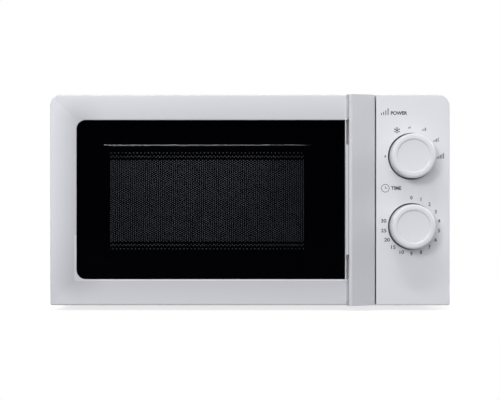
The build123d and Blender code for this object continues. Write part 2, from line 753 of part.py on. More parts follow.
with BuildPart() as noise_filter_board:
    block(board_x, board_y, board_z)
    with BuildSketch(at_z(board_z[1])):
        with Locations((board_x[0] + 16, middle(board_y))):
            Circle(11)
            Circle(4, mode=Mode.SUBTRACT)
    extrude(amount=9)
    block((board_x[0] + 32, board_x[0] + 52), (board_y[0] + 6, board_y[0] + 16),
          (board_z[1], board_z[1] + 13))
    block((board_x[1] - 16, board_x[1] - 4), (board_y[1] - 26, board_y[1] - 8),
          (board_z[1], board_z[1] + 10))
noise_filter_board.part.label = "noise_filter_board"
export_step(noise_filter_board.part, "parts/noise_filter_board.step")

fuse_y = board_y[1] - 12
fuse_x = (board_x[0] + 32, board_x[0] + 56)
with BuildPart() as line_fuse:
    rod_x(fuse_y, board_z[1] + 5, fuse_x, 3)
    for x in (fuse_x[0], fuse_x[1] - 5):
        block((x, x + 5), (fuse_y - 3.5, fuse_y + 3.5), (board_z[1], board_z[1] + 6))
line_fuse.part.label = "line_fuse"
export_step(line_fuse.part, "parts/line_fuse.step")

socket_radius = 14.0
socket_depth = 32.0
bulb_radius = 8.0
bulb_cap_radius = 6.5
socket_flange = (18.0, 22.0)  # half width and half height
with BuildPart() as lamp_socket:
    block((bay_left, bay_left + 2), (lamp_y - socket_flange[0], lamp_y + socket_flange[0]),
          (lamp_z - socket_flange[1], lamp_z + socket_flange[1]))
    rod_x(lamp_y, lamp_z, (bay_left, bay_left + socket_depth), socket_radius)
    rod_x(lamp_y, lamp_z, (bay_left - 1, bay_left + socket_depth - 5), socket_radius - 4,
          mode=Mode.SUBTRACT)
lamp_socket.part.label = "lamp_socket"
export_step(lamp_socket.part, "parts/lamp_socket.step")

bulb_x = (bay_left + 4, bay_left + 20)
with BuildPart() as lamp_bulb:
    rod_x(lamp_y, lamp_z, bulb_x, bulb_radius)
    fillet(edges().filter_by(GeomType.CIRCLE).sort_by(Axis.X)[0], bulb_radius - 1)
    rod_x(lamp_y, lamp_z, (bulb_x[1], bay_left + socket_depth - 5), bulb_cap_radius)
lamp_bulb.part.label = "lamp_bulb"
export_step(lamp_bulb.part, "parts/lamp_bulb.step")

# ---------------------------------------------------------------- control panel
boss_radius = 4.0
boss_inset = 9.5
boss_x = (panel_left + boss_inset, inner_right - boss_inset)
boss_z = (base_top + boss_inset, inner_top - boss_inset)
bush_radius = 4.8
bush_hole_radius = 5.0
with BuildPart() as control_panel:
    with BuildSketch(at_y(plate_front)):
        with Locations((middle((panel_left, right)), middle((door_bottom, door_top)))):
            Rectangle(panel_width, door_top - door_bottom)
        fillet(vertices().group_by(Axis.X)[-1].sort_by(Axis.Y)[-1], top_corner_radius)
        fillet(vertices().sort_by(Axis.Y).sort_by(Axis.X)[-1:], bottom_corner_radius)
    extrude(amount=plate_front - front)
    fillet(faces().sort_by(Axis.Y)[0].edges(), edge_round)
    with BuildSketch(at_y(plate_front)):
        with Locations((middle((panel_left, right)), middle((door_bottom, door_top)))):
            Rectangle(panel_width - 2 * wall, door_top - door_bottom - 2 * wall)
        fillet(vertices().group_by(Axis.X)[-1].sort_by(Axis.Y)[-1], top_corner_radius - wall)
    extrude(amount=plate_front - front_inner, mode=Mode.SUBTRACT)
    for z in (timer_axis_height, power_axis_height):
        rod_y(knob_x, z, (front, well_floor + wall), well_radius + wall)
    for z in (timer_axis_height, power_axis_height):
        rod_y(knob_x, z, (front - 1, well_floor), well_radius, mode=Mode.SUBTRACT)
        rod_y(knob_x, z, (well_floor - 1, well_floor + wall + 1), bush_hole_radius, mode=Mode.SUBTRACT)
    for x in boss_x:
        for z in boss_z:
            rod_y(x, z, (front_inner, plate_front), boss_radius)
control_panel.part.label = "control_panel"
export_step(control_panel.part, "parts/control_panel.step")

flange_size = 44.0
flange_y = (well_floor + wall, well_floor + wall + 2)
bush_front = well_floor - 0.7
shaft_y = (knob_front + 13.0, flange_y[1] + 12.0)
units = {
    "timer_unit": (timer_axis_height, 30.0),
    "power_selector": (power_axis_height, 24.0),
}
for name, (axis_height, depth) in units.items():
    with BuildPart() as unit:
        block((knob_x - flange_size / 2, knob_x + flange_size / 2), flange_y,
              (axis_height - flange_size / 2, axis_height + flange_size / 2))
        block((knob_x - unit_size / 2, knob_x + unit_size / 2), (flange_y[1], flange_y[1] + depth),
              (axis_height - unit_size / 2, axis_height + unit_size / 2))
        rod_y(knob_x, axis_height, (bush_front, flange_y[0]), bush_radius)
        rod_y(knob_x, axis_height, (bush_front - 1, shaft_y[1] + moving_gap),
              shaft_radius + running_clearance, mode=Mode.SUBTRACT)
    unit.part.label = name
    export_step(unit.part, f"parts/{name}.step")

bell_radius = 17.0
bell_y = (flange_y[1] + 30.0, flange_y[1] + 30.0 + 12.0)
with BuildPart() as timer_bell:
    rod_y(knob_x, timer_axis_height, bell_y, bell_radius)
    fillet(edges().filter_by(GeomType.CIRCLE).sort_by(Axis.Y)[-1], 8)
timer_bell.part.label = "timer_bell"
export_step(timer_bell.part, "parts/timer_bell.step")

knob_back = bush_front - 0.6
knob_shell = 2.5
hub_wall = 3.5
dials = {"timer": timer_axis_height, "power": power_axis_height}
for name, axis_height in dials.items():
    spindle = Axis((knob_x, 0, axis_height), (0, 1, 0))
    with BuildPart() as shaft:
        rod_y(knob_x, axis_height, shaft_y, shaft_radius)
    shaft.part.label = f"{name}_shaft"
    export_step(shaft.part, f"parts/{name}_shaft.step")

    with BuildPart() as knob:
        with BuildSketch(Plane(origin=(knob_x, 0, axis_height), x_dir=(1, 0, 0), z_dir=(0, 0, 1))):
            with BuildLine():
                Polyline(
                    (0, knob_front + knob_disc_depth),
                    (knob_disc_radius, knob_front + knob_disc_depth),
                    (knob_disc_radius + 0.6, knob_front),
                    (knob_radius, knob_front),
                    (knob_radius, knob_back),
                    (knob_radius - knob_shell, knob_back),
                    (knob_radius - knob_shell, knob_front + knob_disc_depth + knob_shell),
                    (shaft_radius + hub_wall, knob_front + knob_disc_depth + knob_shell),
                    (shaft_radius + hub_wall, knob_back),
                    (shaft_radius + running_clearance, knob_back),
                    (shaft_radius + running_clearance, shaft_y[0]),
                    (0, shaft_y[0]),
                    close=True,
                )
            make_face()
            fillet(vertices().group_by(Axis.Y)[0].sort_by(Axis.X)[-1], knob_rim_radius)
            fillet(vertices().group_by(Axis.Y)[0].sort_by(Axis.X)[0], knob_rim_radius / 2)
        revolve(axis=spindle)
    knob.part.label = f"{name}_knob"
    export_step(knob.part, f"parts/{name}_knob.step")

# ---------------------------------------------------------------- door
hinge_relief = 6.0
glass_rear = front_inner + glass_thickness
channel_x = (window_right + rib_width, window_right + rib_width + grip_channel_width)
channel_floor = front + grip_channel_depth
channel_wall = 2.0
channel_z = (window_bottom, window_top)
screen_front = front + screen_depth_in_door
nose_x = lip_left + 5.3
nose_y = front - lip_proud
lip_slope = lip_proud / (door_right - nose_x)
lip_shell = 2.74              # wall thickness measured along Y under the slope


def under_lip(x):
    """Depth of the grip strip's inner surface at x."""
    return nose_y + (x - nose_x) * lip_slope + lip_shell


hinge_low = door_bottom + wall + hinge_low_gap
hinge_high = door_top - top_corner_radius
hinge_levels = ((hinge_low, 1), (hinge_high, -1))
lever_x = (latch_x - 4, latch_x + 4)
lever_y = (channel_floor + channel_wall + 3.0, channel_floor + channel_wall + 8.0)
lever_z = (hook_bottoms[0] - 8, hook_bottoms[1] + hook_height + 1)
guide_insets = (25.0, 30.0)
guide_levels = (lever_z[0] + guide_insets[0], lever_z[1] - guide_insets[1])
guide_height = 10.0
guide_wall = 2.5
spring_length = 14.0
spring_seat = 3.0
screw_boss_radius = 3.5
screen_left = window_left - 10.5
screen_right = window_right + 10.1
screen_bottom = window_bottom - 14
screen_top = window_top + 14
screw_places = [
    (x, z)
    for x in (screen_left + 5, middle((screen_left, screen_right)))
    for z in (screen_bottom + 4.5, screen_top - 4.5)
]
tab_z = (middle(channel_z) - tab_height / 2, middle(channel_z) + tab_height / 2)
dish_left = door_left + dish_inset
dish_bottom = door_bottom + dish_inset
dish_top = door_top - dish_inset

with BuildPart() as door_shell:
    with BuildSketch(at_y(door_back)):
        with Locations((middle((door_left, door_right)), middle((door_bottom, door_top)))):
            Rectangle(door_right - door_left, door_top - door_bottom)
        fillet(vertices().group_by(Axis.X)[0].sort_by(Axis.Y)[-1], top_corner_radius)
        fillet(vertices().sort_by(Axis.X)[:2].sort_by(Axis.Y)[0], bottom_corner_radius)
    extrude(amount=door_depth)
    fillet(faces().sort_by(Axis.Y)[0].edges().sort_by(Axis.X)[:-1], edge_round)
    with BuildSketch(at_y(door_back)):
        with Locations((middle((door_left, door_right)), middle((door_bottom, door_top)))):
            Rectangle(door_right - door_left - 2 * wall, door_top - door_bottom - 2 * wall)
        fillet(vertices().group_by(Axis.X)[0].sort_by(Axis.Y)[-1], top_corner_radius - wall)
    extrude(amount=door_depth - wall, mode=Mode.SUBTRACT)

    # Window opening in a shallow dish that is mitred at the corners.
    with BuildSketch(at_y(front)):
        with Locations((middle((dish_left, lip_left)), middle((dish_bottom, dish_top)))):
            Rectangle(lip_left - dish_left, dish_top - dish_bottom)
    with BuildSketch(at_y(front + dish_depth)):
        with Locations((middle((window_left, lip_left)), middle((window_bottom, window_top)))):
            Rectangle(lip_left - window_left, window_height)
    loft(mode=Mode.SUBTRACT)
    with BuildSketch(at_y(front_inner + 1)):
        with Locations((middle((window_left, window_right)), middle((window_bottom, window_top)))):
            Rectangle(window_width, window_height)
        fillet(vertices().group_by(Axis.X)[0], window_corner_radius)
    extrude(amount=wall + 2, mode=Mode.SUBTRACT)

    # Grip strip: a lip that stands proud, hollow behind, sloping down to the door's right edge.
    with BuildSketch(at_z(door_bottom)):
        Polygon(
            (lip_left, front),
            (lip_left, front_inner),
            (door_right, front_inner),
            (door_right, front),
            (nose_x, nose_y),
            (lip_left + 1.8, nose_y + lip_nose),
            align=None,
        )
        fillet(vertices().sort_by(Axis.Y)[0], lip_round)
    extrude(amount=door_top - door_bottom)
    with BuildSketch(at_z(door_bottom + wall)):
        Polygon(
            (channel_x[1] + channel_wall, front_inner + 1),
            (door_right - wall, front_inner + 1),
            (door_right - wall, under_lip(door_right - wall)),
            (channel_x[1] + channel_wall, under_lip(channel_x[1] + channel_wall)),
            align=None,
        )
    extrude(amount=door_top - door_bottom - 2 * wall, mode=Mode.SUBTRACT)

    # Finger channel behind the lip, open towards the window.
    block((window_right, channel_x[1] + channel_wall), (front, channel_floor + channel_wall),
          (channel_z[0] - channel_wall, channel_z[1] + channel_wall))
    with BuildSketch(at_z(channel_z[0])):
        Polygon(
            (channel_x[0], channel_floor),
            (channel_x[1], channel_floor),
            (channel_x[1], under_lip(channel_x[1])),
            (nose_x + 1, nose_y + lip_nose),
            (lip_left + lip_setback, nose_y + 2 * lip_nose),
            (lip_left + lip_setback, nose_y - 1),
            (window_right - 3, nose_y - 1),
            (window_right - 3, front),
            (channel_x[0], front),
            align=None,
        )
    extrude(amount=span(channel_z), mode=Mode.SUBTRACT)
    block((window_right, nose_x - 1), (nose_y + lip_nose, nose_y + lip_nose + tab_thickness), tab_z)

    # Hinge side: relief of the rear edge, notches for the brackets, bosses on ribs.
    with BuildSketch(at_z(door_bottom - 1)):
        Polygon(
            (door_left - 1, door_back + 1),
            (door_left - 1, door_back - hinge_relief - 1),
            (door_left, door_back - hinge_relief),
            (door_left + hinge_relief, door_back),
            (door_left + hinge_relief + 1, door_back + 1),
            align=None,
        )
    extrude(amount=door_top - door_bottom + 2, mode=Mode.SUBTRACT)
    for level, way in hinge_levels:
        near = level + way * (hinge_plate + moving_gap)
        far = near + way * (hinge_pin_length + 2)
        boss_levels = (min(near, far), max(near, far))
        block((hinge_x - wall / 2, hinge_x + wall / 2), (front_inner - 0.5, hinge_y), boss_levels)
        rod_z(hinge_x, hinge_y, boss_levels, hinge_boss_radius)
        pin_end = level + way * (hinge_plate + hinge_pin_length + 0.5)
        bore_levels = (min(near, pin_end) - 1, max(near, pin_end) + 1)
        rod_z(hinge_x, hinge_y, bore_levels, hinge_pin_radius + running_clearance, mode=Mode.SUBTRACT)
        notch_end = level + way * (hinge_plate + 1)
        notch_levels = (min(level - way, notch_end), max(level - way, notch_end))
        block((door_left - 1, door_left + wall + 0.5), (hinge_y - 9, door_back + 1), notch_levels,
              mode=Mode.SUBTRACT)

    # Bosses for the screen's screws, guides for the latch lever and the seat of its spring.
    for x, z in screw_places:
        rod_y(x, z, (front_inner - 0.5, screen_front), screw_boss_radius)
    for level in guide_levels:
        levels = (level, level + guide_height)
        block((lever_x[0] - guide_wall - moving_gap, lever_x[1] + guide_wall + moving_gap),
              (channel_floor + channel_wall - 0.5, lever_y[0] - moving_gap), levels)
        for side in (-1, 1):
            inner = latch_x + side * (span(lever_x) / 2 + moving_gap)
            outer = inner + side * guide_wall
            block((min(inner, outer), max(inner, outer)),
                  (lever_y[0] - moving_gap, lever_y[1] + 1), levels)
    block(lever_x, (channel_floor + channel_wall - 0.5, lever_y[1]),
          (lever_z[1] + spring_length, lever_z[1] + spring_length + spring_seat))

# The grip is a moulding of its own, clipped to the right side of the frame.
grip_depth = (nose_y - 1, door_back + 1)
grip_regions = (
    ((lip_left, door_right + 1), (door_bottom - 1, door_top + 1)),
    ((window_right, lip_left), (channel_z[0] - channel_wall, channel_z[1] + channel_wall)),
)
with BuildPart() as door_frame:
    add(door_shell.part)
    for across, levels in grip_regions:
        block(across, grip_depth, levels, mode=Mode.SUBTRACT)
door_frame.part.label = "door_frame"
export_step(door_frame.part, "parts/door_frame.step")

with BuildPart() as door_grip:
    add(door_shell.part)
    with BuildPart(mode=Mode.INTERSECT):
        for across, levels in grip_regions:
            block(across, grip_depth, levels)
door_grip.part.label = "door_grip"
export_step(door_grip.part, "parts/door_grip.step")

with BuildPart() as door_glass:
    block((window_left - glass_overlap, window_right - 0.2), (front_inner, glass_rear),
          (window_bottom - glass_overlap, window_top + glass_overlap))
    fillet(edges().filter_by(Axis.Y).sort_by(Axis.X)[:2], 6)
door_glass.part.label = "door_glass"
export_step(door_glass.part, "parts/door_glass.step")

mesh_x = (window_left + mesh_margins[0], window_right - mesh_margins[1])
mesh_z = (window_bottom + mesh_margins[2], window_top - mesh_margins[3])
plateau_x = (mesh_x[0] - plateau_margin, mesh_x[1] + plateau_margin)
plateau_z = (mesh_z[0] - plateau_margin, mesh_z[1] + plateau_margin)
plateau_front = glass_rear + plateau_front_gap
screen_rear = screen_front + sheet
choke_thickness = 2.0
choke_y = (plate_front - choke_lip - choke_thickness, plate_front - choke_lip)
with BuildPart() as door_screen:
    block((screen_left, screen_right), (screen_front, choke_y[0]), (screen_bottom, screen_top))
    block((screen_left + sheet, screen_right - sheet), (screen_rear, choke_y[0] + 1),
          (screen_bottom + sheet, screen_top - sheet), mode=Mode.SUBTRACT)
    with BuildSketch(at_y(screen_rear)):
        with Locations((middle(plateau_x), middle(plateau_z))):
            RectangleRounded(span(plateau_x), span(plateau_z), plateau_corner_radius)
    extrude(amount=screen_rear - plateau_front, taper=20)
    with BuildSketch(at_y(screen_rear + 0.01)):
        with Locations((middle(plateau_x), middle(plateau_z))):
            RectangleRounded(span(plateau_x) - 2 * sheet, span(plateau_z) - 2 * sheet,
                             plateau_corner_radius - sheet)
    extrude(amount=screen_rear - plateau_front - sheet, taper=20, mode=Mode.SUBTRACT)
    block(mesh_x, (plateau_front - 1, plateau_front + sheet + 1), mesh_z, mode=Mode.SUBTRACT)
door_screen.part.label = "door_screen"
export_step(door_screen.part, "parts/door_screen.step")

with BuildPart() as screen_mesh:
    block(mesh_x, (plateau_front, plateau_front + sheet), mesh_z)
screen_mesh.part.label = "screen_mesh"
export_step(screen_mesh.part, "parts/screen_mesh.step")

film_margin = 6.0
film_thickness = 0.6
with BuildPart() as inner_film:
    block((plateau_x[0] - film_margin, plateau_x[1] + film_margin),
          (screen_rear, screen_rear + film_thickness),
          (plateau_z[0] - film_margin, plateau_z[1] + film_margin))
    fillet(edges().filter_by(Axis.Y), 4)
inner_film.part.label = "inner_film"
export_step(inner_film.part, "parts/inner_film.step")

choke_lap_out = 2.5
choke_lap_in = 14.0
with BuildPart() as choke_cover:
    with BuildSketch(at_y(choke_y[1])):
        with Locations((middle((screen_left, screen_right)), middle((screen_bottom, screen_top)))):
            RectangleRounded(screen_right - screen_left + 2 * choke_lap_out,
                             screen_top - screen_bottom + 2 * choke_lap_out, 6)
            RectangleRounded(screen_right - screen_left - 2 * choke_lap_in,
                             screen_top - screen_bottom - 2 * choke_lap_in, 8, mode=Mode.SUBTRACT)
    extrude(amount=choke_thickness)
    with BuildSketch(at_y(choke_y[0])):
        with Locations((middle((screen_left, screen_right)), middle((screen_bottom, screen_top)))):
            RectangleRounded(screen_right - screen_left - 2 * choke_lap_in + 4,
                             screen_top - screen_bottom - 2 * choke_lap_in + 4, 10)
            RectangleRounded(screen_right - screen_left - 2 * choke_lap_in,
                             screen_top - screen_bottom - 2 * choke_lap_in, 8, mode=Mode.SUBTRACT)
    extrude(amount=choke_y[0] - screen_rear)
choke_cover.part.label = "choke_cover"
export_step(choke_cover.part, "parts/choke_cover.step")

with BuildPart() as door_screws:
    for x, z in screw_places:
        rod_y(x, z, (screen_rear, screen_rear + 2), 3)
        rod_y(x, z, (screen_rear + 1, screen_rear + 3), 1.2, mode=Mode.SUBTRACT)
door_screws.part.label = "door_screws"
export_step(door_screws.part, "parts/door_screws.step")

# ---------------------------------------------------------------- hinges
bracket_half = 6.0
bracket_flange = 1.5
bracket_flange_height = 24.0
with BuildPart() as hinge_brackets:
    for level, way in hinge_levels:
        far = level + way * hinge_plate
        pin_far = far + way * hinge_pin_length
        flange_far = far + way * bracket_flange_height
        with BuildSketch(at_z(min(level, far))):
            with Locations((hinge_x, hinge_y)):
                Circle(bracket_half)
            with Locations((hinge_x, middle((hinge_y, plate_front)))):
                Rectangle(2 * bracket_half, plate_front - hinge_y)
        extrude(amount=hinge_plate)
        rod_z(hinge_x, hinge_y, (min(level, pin_far), max(level, pin_far)), hinge_pin_radius)
        block((hinge_x - bracket_half, hinge_x + bracket_half / 2),
              (plate_front - bracket_flange, plate_front),
              (min(level, flange_far), max(level, flange_far)))
hinge_brackets.part.label = "hinge_brackets"
export_step(hinge_brackets.part, "parts/hinge_brackets.step")

# ---------------------------------------------------------------- latch and interlock
hook_reach = 13.0             # hook's end behind the front plate's face
nose_length = 4.0
with BuildPart() as latch_lever:
    block(lever_x, lever_y, lever_z)
    for bottom in hook_bottoms:
        block((latch_x - hook_width / 2, latch_x + hook_width / 2),
              (lever_y[1] - 1, plate_front + hook_reach), (bottom, bottom + hook_height))
        block((latch_x - hook_width / 2, latch_x + hook_width / 2),
              (plate_front + hook_reach - nose_length, plate_front + hook_reach),
              (bottom - hook_drop + moving_gap, bottom))
latch_lever.part.label = "latch_lever"
export_step(latch_lever.part, "parts/latch_lever.step")

coil_radius = 2.6
coil_wire = 0.5
coil_turns = 5
coil_z = (lever_z[1] + coil_wire, lever_z[1] + spring_length - coil_wire)
coil_y = middle(lever_y)
with BuildPart() as latch_spring:
    with BuildLine():
        Helix(span(coil_z) / coil_turns, span(coil_z), coil_radius, center=(latch_x, coil_y, coil_z[0]))
    with BuildSketch(Plane(origin=(latch_x + coil_radius, coil_y, coil_z[0]), z_dir=(0, 1, 0))):
        Circle(coil_wire)
    sweep(is_frenet=True)
latch_spring.part.label = "latch_spring"
export_step(latch_spring.part, "parts/latch_spring.step")

board_depth = 4.0
latch_board_x = (latch_x - 14, latch_x + 14)
latch_board_y = (plate_back, plate_back + board_depth)
latch_board_z = (hook_bottoms[0] - 16, hook_bottoms[1] + 28)
switch_y = (plate_front + hook_reach + moving_gap + 2.7, plate_front + hook_reach + moving_gap + 18.7)
switch_size = (10.0, 28.0)
plunger_radius = 1.2
plunger_depth = 6.0
with BuildPart() as latch_board:
    block(latch_board_x, latch_board_y, latch_board_z)
    for x in (latch_board_x[0], latch_board_x[1] - 2):
        block((x, x + 2), (latch_board_y[0], switch_y[1]), latch_board_z)
    for bottom in hook_bottoms:
        slot_z = (bottom - hook_drop - moving_gap, bottom + hook_height + moving_gap)
        block(slot_x, (latch_board_y[0] - 1, latch_board_y[1] + 1), slot_z, mode=Mode.SUBTRACT)
        block(slot_x, (latch_board_y[1], plate_front + hook_reach - nose_length - 0.5),
              (slot_z[0] - 5, slot_z[0]))
        shelf = bottom - switch_size[1] / 2 + hook_height / 2
        block((latch_board_x[0] + 2, latch_board_x[1] - 2), switch_y, (shelf - 2, shelf))
latch_board.part.label = "latch_board"
export_step(latch_board.part, "parts/latch_board.step")

with BuildPart() as interlock_switches:
    for bottom in hook_bottoms:
        shelf = bottom - switch_size[1] / 2 + hook_height / 2
        block((latch_x - switch_size[0] / 2, latch_x + switch_size[0] / 2), switch_y,
              (shelf, shelf + switch_size[1]))
        rod_y(latch_x, bottom + hook_height / 2, (switch_y[0] - 1, switch_y[0] + plunger_depth),
              plunger_radius + running_clearance, mode=Mode.SUBTRACT)
interlock_switches.part.label = "interlock_switches"
export_step(interlock_switches.part, "parts/interlock_switches.step")

for number, bottom in enumerate(hook_bottoms, start=1):
    with BuildPart() as switch_plunger:
        rod_y(latch_x, bottom + hook_height / 2,
              (plate_front + hook_reach + moving_gap, switch_y[0] + plunger_depth - 2), plunger_radius)
    switch_plunger.part.label = f"switch_plunger_{number}"
    export_step(switch_plunger.part, f"parts/switch_plunger_{number}.step")
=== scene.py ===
# %% [markdown]
# # A countertop microwave oven
#
# The oven has a white moulded door with a dark window, a white control panel
# with two dials, and a painted sheet-steel cabinet behind them. The packed
# CAD model is loaded first. It is the fixed frame: every solid stays where it
# is, most of them get a finish here, and a few plain ones are replaced by
# pieces that show more of the real shape.

# %% Load the frame
import math

import bmesh
import bpy
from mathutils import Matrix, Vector


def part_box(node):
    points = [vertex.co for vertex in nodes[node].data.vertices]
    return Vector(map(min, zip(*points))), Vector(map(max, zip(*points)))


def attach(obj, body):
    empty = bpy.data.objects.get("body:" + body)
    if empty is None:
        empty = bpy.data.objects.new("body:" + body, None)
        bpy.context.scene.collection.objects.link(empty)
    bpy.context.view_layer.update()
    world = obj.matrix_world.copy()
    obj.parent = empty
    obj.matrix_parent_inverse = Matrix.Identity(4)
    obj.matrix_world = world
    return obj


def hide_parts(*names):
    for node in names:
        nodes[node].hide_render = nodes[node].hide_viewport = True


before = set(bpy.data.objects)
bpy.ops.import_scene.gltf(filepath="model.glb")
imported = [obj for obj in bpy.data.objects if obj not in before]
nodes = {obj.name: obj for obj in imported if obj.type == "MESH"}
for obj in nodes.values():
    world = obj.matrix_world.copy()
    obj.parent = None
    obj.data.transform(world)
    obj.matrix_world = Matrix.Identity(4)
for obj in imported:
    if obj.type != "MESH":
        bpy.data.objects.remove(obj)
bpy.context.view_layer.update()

# %% [markdown]
# ## Shader nodes in one line each
#
# The light, the finishes and the floor are all built from shader nodes. These
# helpers make a node, set what stays fixed on it and join it to the next, so
# that a node tree reads as a list: first its nodes, then its links. In a
# keyword an underscore stands for the space in an input's name.

# %% Helpers for shader nodes
def fill(made, **values):
    """Set a node's inputs by name."""
    for key, value in values.items():
        made.inputs[key.replace("_", " ")].default_value = value


def node(tree, kind, fixed=(), **values):
    """Add a node; fixed sets inputs by number, values properties or inputs by name."""
    made = tree.nodes.new("ShaderNode" + kind)
    for key, value in values.items():
        if hasattr(made, key):
            setattr(made, key, value)
        else:
            fill(made, **{key: value})
    for number, value in dict(fixed).items():
        made.inputs[number].default_value = value
    return made


def blend_node(tree, mode="MIX", **values):
    """A colour mix node; its inputs are Factor, A and B."""
    made = node(tree, "Mix", data_type="RGBA", blend_type=mode)
    fill(made, **values)
    return made


def ramp_node(tree, low, high):
    """A colour ramp between two colours."""
    made = node(tree, "ValToRGB")
    for element, colour in zip(made.color_ramp.elements, (low, high)):
        element.color = (*colour, 1)
    return made


def link(source, out, target, into):
    """Join a node's output to another node's input, by name or number."""
    target.id_data.links.new(source.outputs[out], target.inputs[into])


def grey_of(tree, source, out):
    """A colour that has one value in its three channels."""
    made = node(tree, "CombineColor")
    for channel in ("Red", "Green", "Blue"):
        link(source, out, made, channel)
    return made


print("shader helpers ready")

# %% [markdown]
# ## Stage, camera and light
#
# A product shot of a white object on white needs soft light from everywhere,
# a little more of it from the upper left so that round shapes read, and a
# small dark patch straight ahead of the door: whatever lies there is mirrored
# in the black window, and a bright wall would turn the glass grey. The light
# is strongest ahead and weaker to the sides, so the top keeps some tone. A
# large fill light stands behind the camera, and a rear light behind the oven.
# Neither is seen in reflections.
# The world gives the overall light. It is white where the camera looks past
# the oven, which keeps the ground behind it plain.
# White goods are judged by small steps of near-white, so the picture is shown
# with the plain Standard view, which keeps them, and not with a film curve.

# %% Camera
camera_distance = 1.6
picture_width = 0.5657        # how much of the world fits across the picture, at the door
sensor_width = 36.0
door_face_y = -0.1485
camera_data = bpy.data.cameras.new("camera")
camera = bpy.data.objects.new("camera", camera_data)
bpy.context.scene.collection.objects.link(camera)
camera.location = (0.0, door_face_y - camera_distance, 0.125)
camera.rotation_euler = (math.radians(90), 0, 0)
camera_data.sensor_width = sensor_width
camera_data.lens = sensor_width * camera_distance / picture_width
camera_data.clip_end = 30
bpy.context.scene.camera = camera
bpy.context.scene.view_settings.view_transform = "Standard"
print("camera", tuple(round(v, 3) for v in camera.location), "lens", round(camera_data.lens, 1))

# %% World light with a darker patch in front of the window
world = bpy.data.worlds.new("studio")
bpy.context.scene.world = world
world.use_nodes = True
tree = world.node_tree
tree.nodes.clear()
direction = node(tree, "TexCoord")
facing = node(tree, "VectorMath", {1: (0, -1, 0)}, operation="DOT_PRODUCT")
patch = node(tree, "MapRange", From_Min=0.945, From_Max=0.982, To_Min=1.0, To_Max=0.0)
ahead = node(tree, "MapRange", From_Min=0.0, From_Max=0.7, To_Min=0.24, To_Max=0.55)
strength = node(tree, "Math", operation="MULTIPLY")
lit = node(tree, "Background", Color=(0.955, 0.975, 1.0, 1))
seen = node(tree, "Background", Color=(1, 1, 1, 1), Strength=1.0)
path = node(tree, "LightPath")
both = node(tree, "MixShader")
out = node(tree, "OutputWorld")
link(direction, "Generated", facing, 0)
link(facing, "Value", patch, "Value")
link(facing, "Value", ahead, "Value")
link(patch, "Result", strength, 0)
link(ahead, "Result", strength, 1)
link(strength, 0, lit, "Strength")
link(path, "Is Camera Ray", both, "Fac")
link(lit, 0, both, 1)
link(seen, 0, both, 2)
link(both, 0, out, "Surface")
print("world light ready")


# %% Soft boxes
def soft_box(name, place, target, size, power, colour=(1, 1, 1)):
    """A rectangular area light of a width and height, turned to a target."""
    data = bpy.data.lights.new(name, "AREA")
    data.shape = "RECTANGLE"
    data.size, data.size_y = size
    data.energy = power
    data.color = colour
    light = bpy.data.objects.new(name, data)
    bpy.context.scene.collection.objects.link(light)
    light.location = place
    light.rotation_euler = (Vector(target) - Vector(place)).to_track_quat("-Z", "Y").to_euler()
    return light


lights = [
    soft_box("key_light", (-0.55, -1.75, 0.74), (0.10, -0.15, 0.12), (0.36, 0.36), 8.5),
    soft_box("fill_light", (0.0, -2.8, 0.45), (0.0, -0.15, 0.13), (1.6, 1.0), 20),
    soft_box("top_light", (-0.12, -0.75, 1.33), (-0.05, -0.14, 0.18), (0.56, 0.10), 5.5),
    soft_box("side_light", (1.7, 0.1, 0.9), (0.2, 0.0, 0.12), (0.9, 0.9), 15),
    soft_box("rear_light", (-0.9, 1.7, 1.2), (0.0, 0.15, 0.12), (1.5, 1.1), 38),
    soft_box("lamp_glow", (-0.0745, 0.02, 0.222), (-0.0745, 0.10, 0.05), (0.20, 0.02), 0.122,
             (0.80, 0.87, 1.0)),
]
for light in lights:
    light.visible_glossy = light.name not in ("fill_light", "rear_light")
print("lights", [(light.name, light.data.energy) for light in lights])


# %% [markdown]
# ## Selecting and finishing pieces
#
# Every piece below starts as a primitive and is shaped in edit mode. Small
# helpers keep that readable. They clear the selection, pick faces or edges by
# a test on their place, apply modifiers, join pieces, and hand the finished
# piece to the body that it moves with.

# %% Helpers for modelling
def clear():
    """Leave edit mode and deselect everything."""
    if bpy.context.object and bpy.context.object.mode != "OBJECT":
        bpy.ops.object.mode_set(mode="OBJECT")
    bpy.ops.object.select_all(action="DESELECT")


def pick_faces(piece, test):
    """In edit mode, select the faces whose centre and normal pass a test."""
    bpy.ops.mesh.select_mode(type="FACE")
    bpy.ops.mesh.select_all(action="DESELECT")
    mesh = bmesh.from_edit_mesh(piece.data)
    for face in mesh.faces:
        face.select_set(test(face.calc_center_median(), face.normal))
    bmesh.update_edit_mesh(piece.data)


def pick_edges(piece, test):
    """In edit mode, select the edges whose two ends pass a test."""
    bpy.ops.mesh.select_mode(type="EDGE")
    bpy.ops.mesh.select_all(action="DESELECT")
    mesh = bmesh.from_edit_mesh(piece.data)
    for edge in mesh.edges:
        edge.select_set(test(edge.verts[0].co, edge.verts[1].co))
    bmesh.update_edit_mesh(piece.data)


def apply_modifiers(piece):
    """Apply a piece's modifiers in order."""
    clear()
    piece.select_set(True)
    bpy.context.view_layer.objects.active = piece
    for modifier in list(piece.modifiers):
        bpy.ops.object.modifier_apply(modifier=modifier.name)


def thicken(piece, thickness):
    """Give a sheet its thickness on the side that it faces away from."""
    gauge = piece.modifiers.new("thickness", "SOLIDIFY")
    gauge.thickness = thickness
    gauge.offset = -1
    apply_modifiers(piece)


def settle(piece, name, smooth_angle=35):
    """Name a piece, move its place into its mesh and smooth it by angle."""
    clear()
    piece.name = name
    piece.data.name = name
    piece.select_set(True)
    bpy.context.view_layer.objects.active = piece
    bpy.ops.object.transform_apply()
    bpy.ops.object.shade_smooth_by_angle(angle=math.radians(smooth_angle))
    return piece


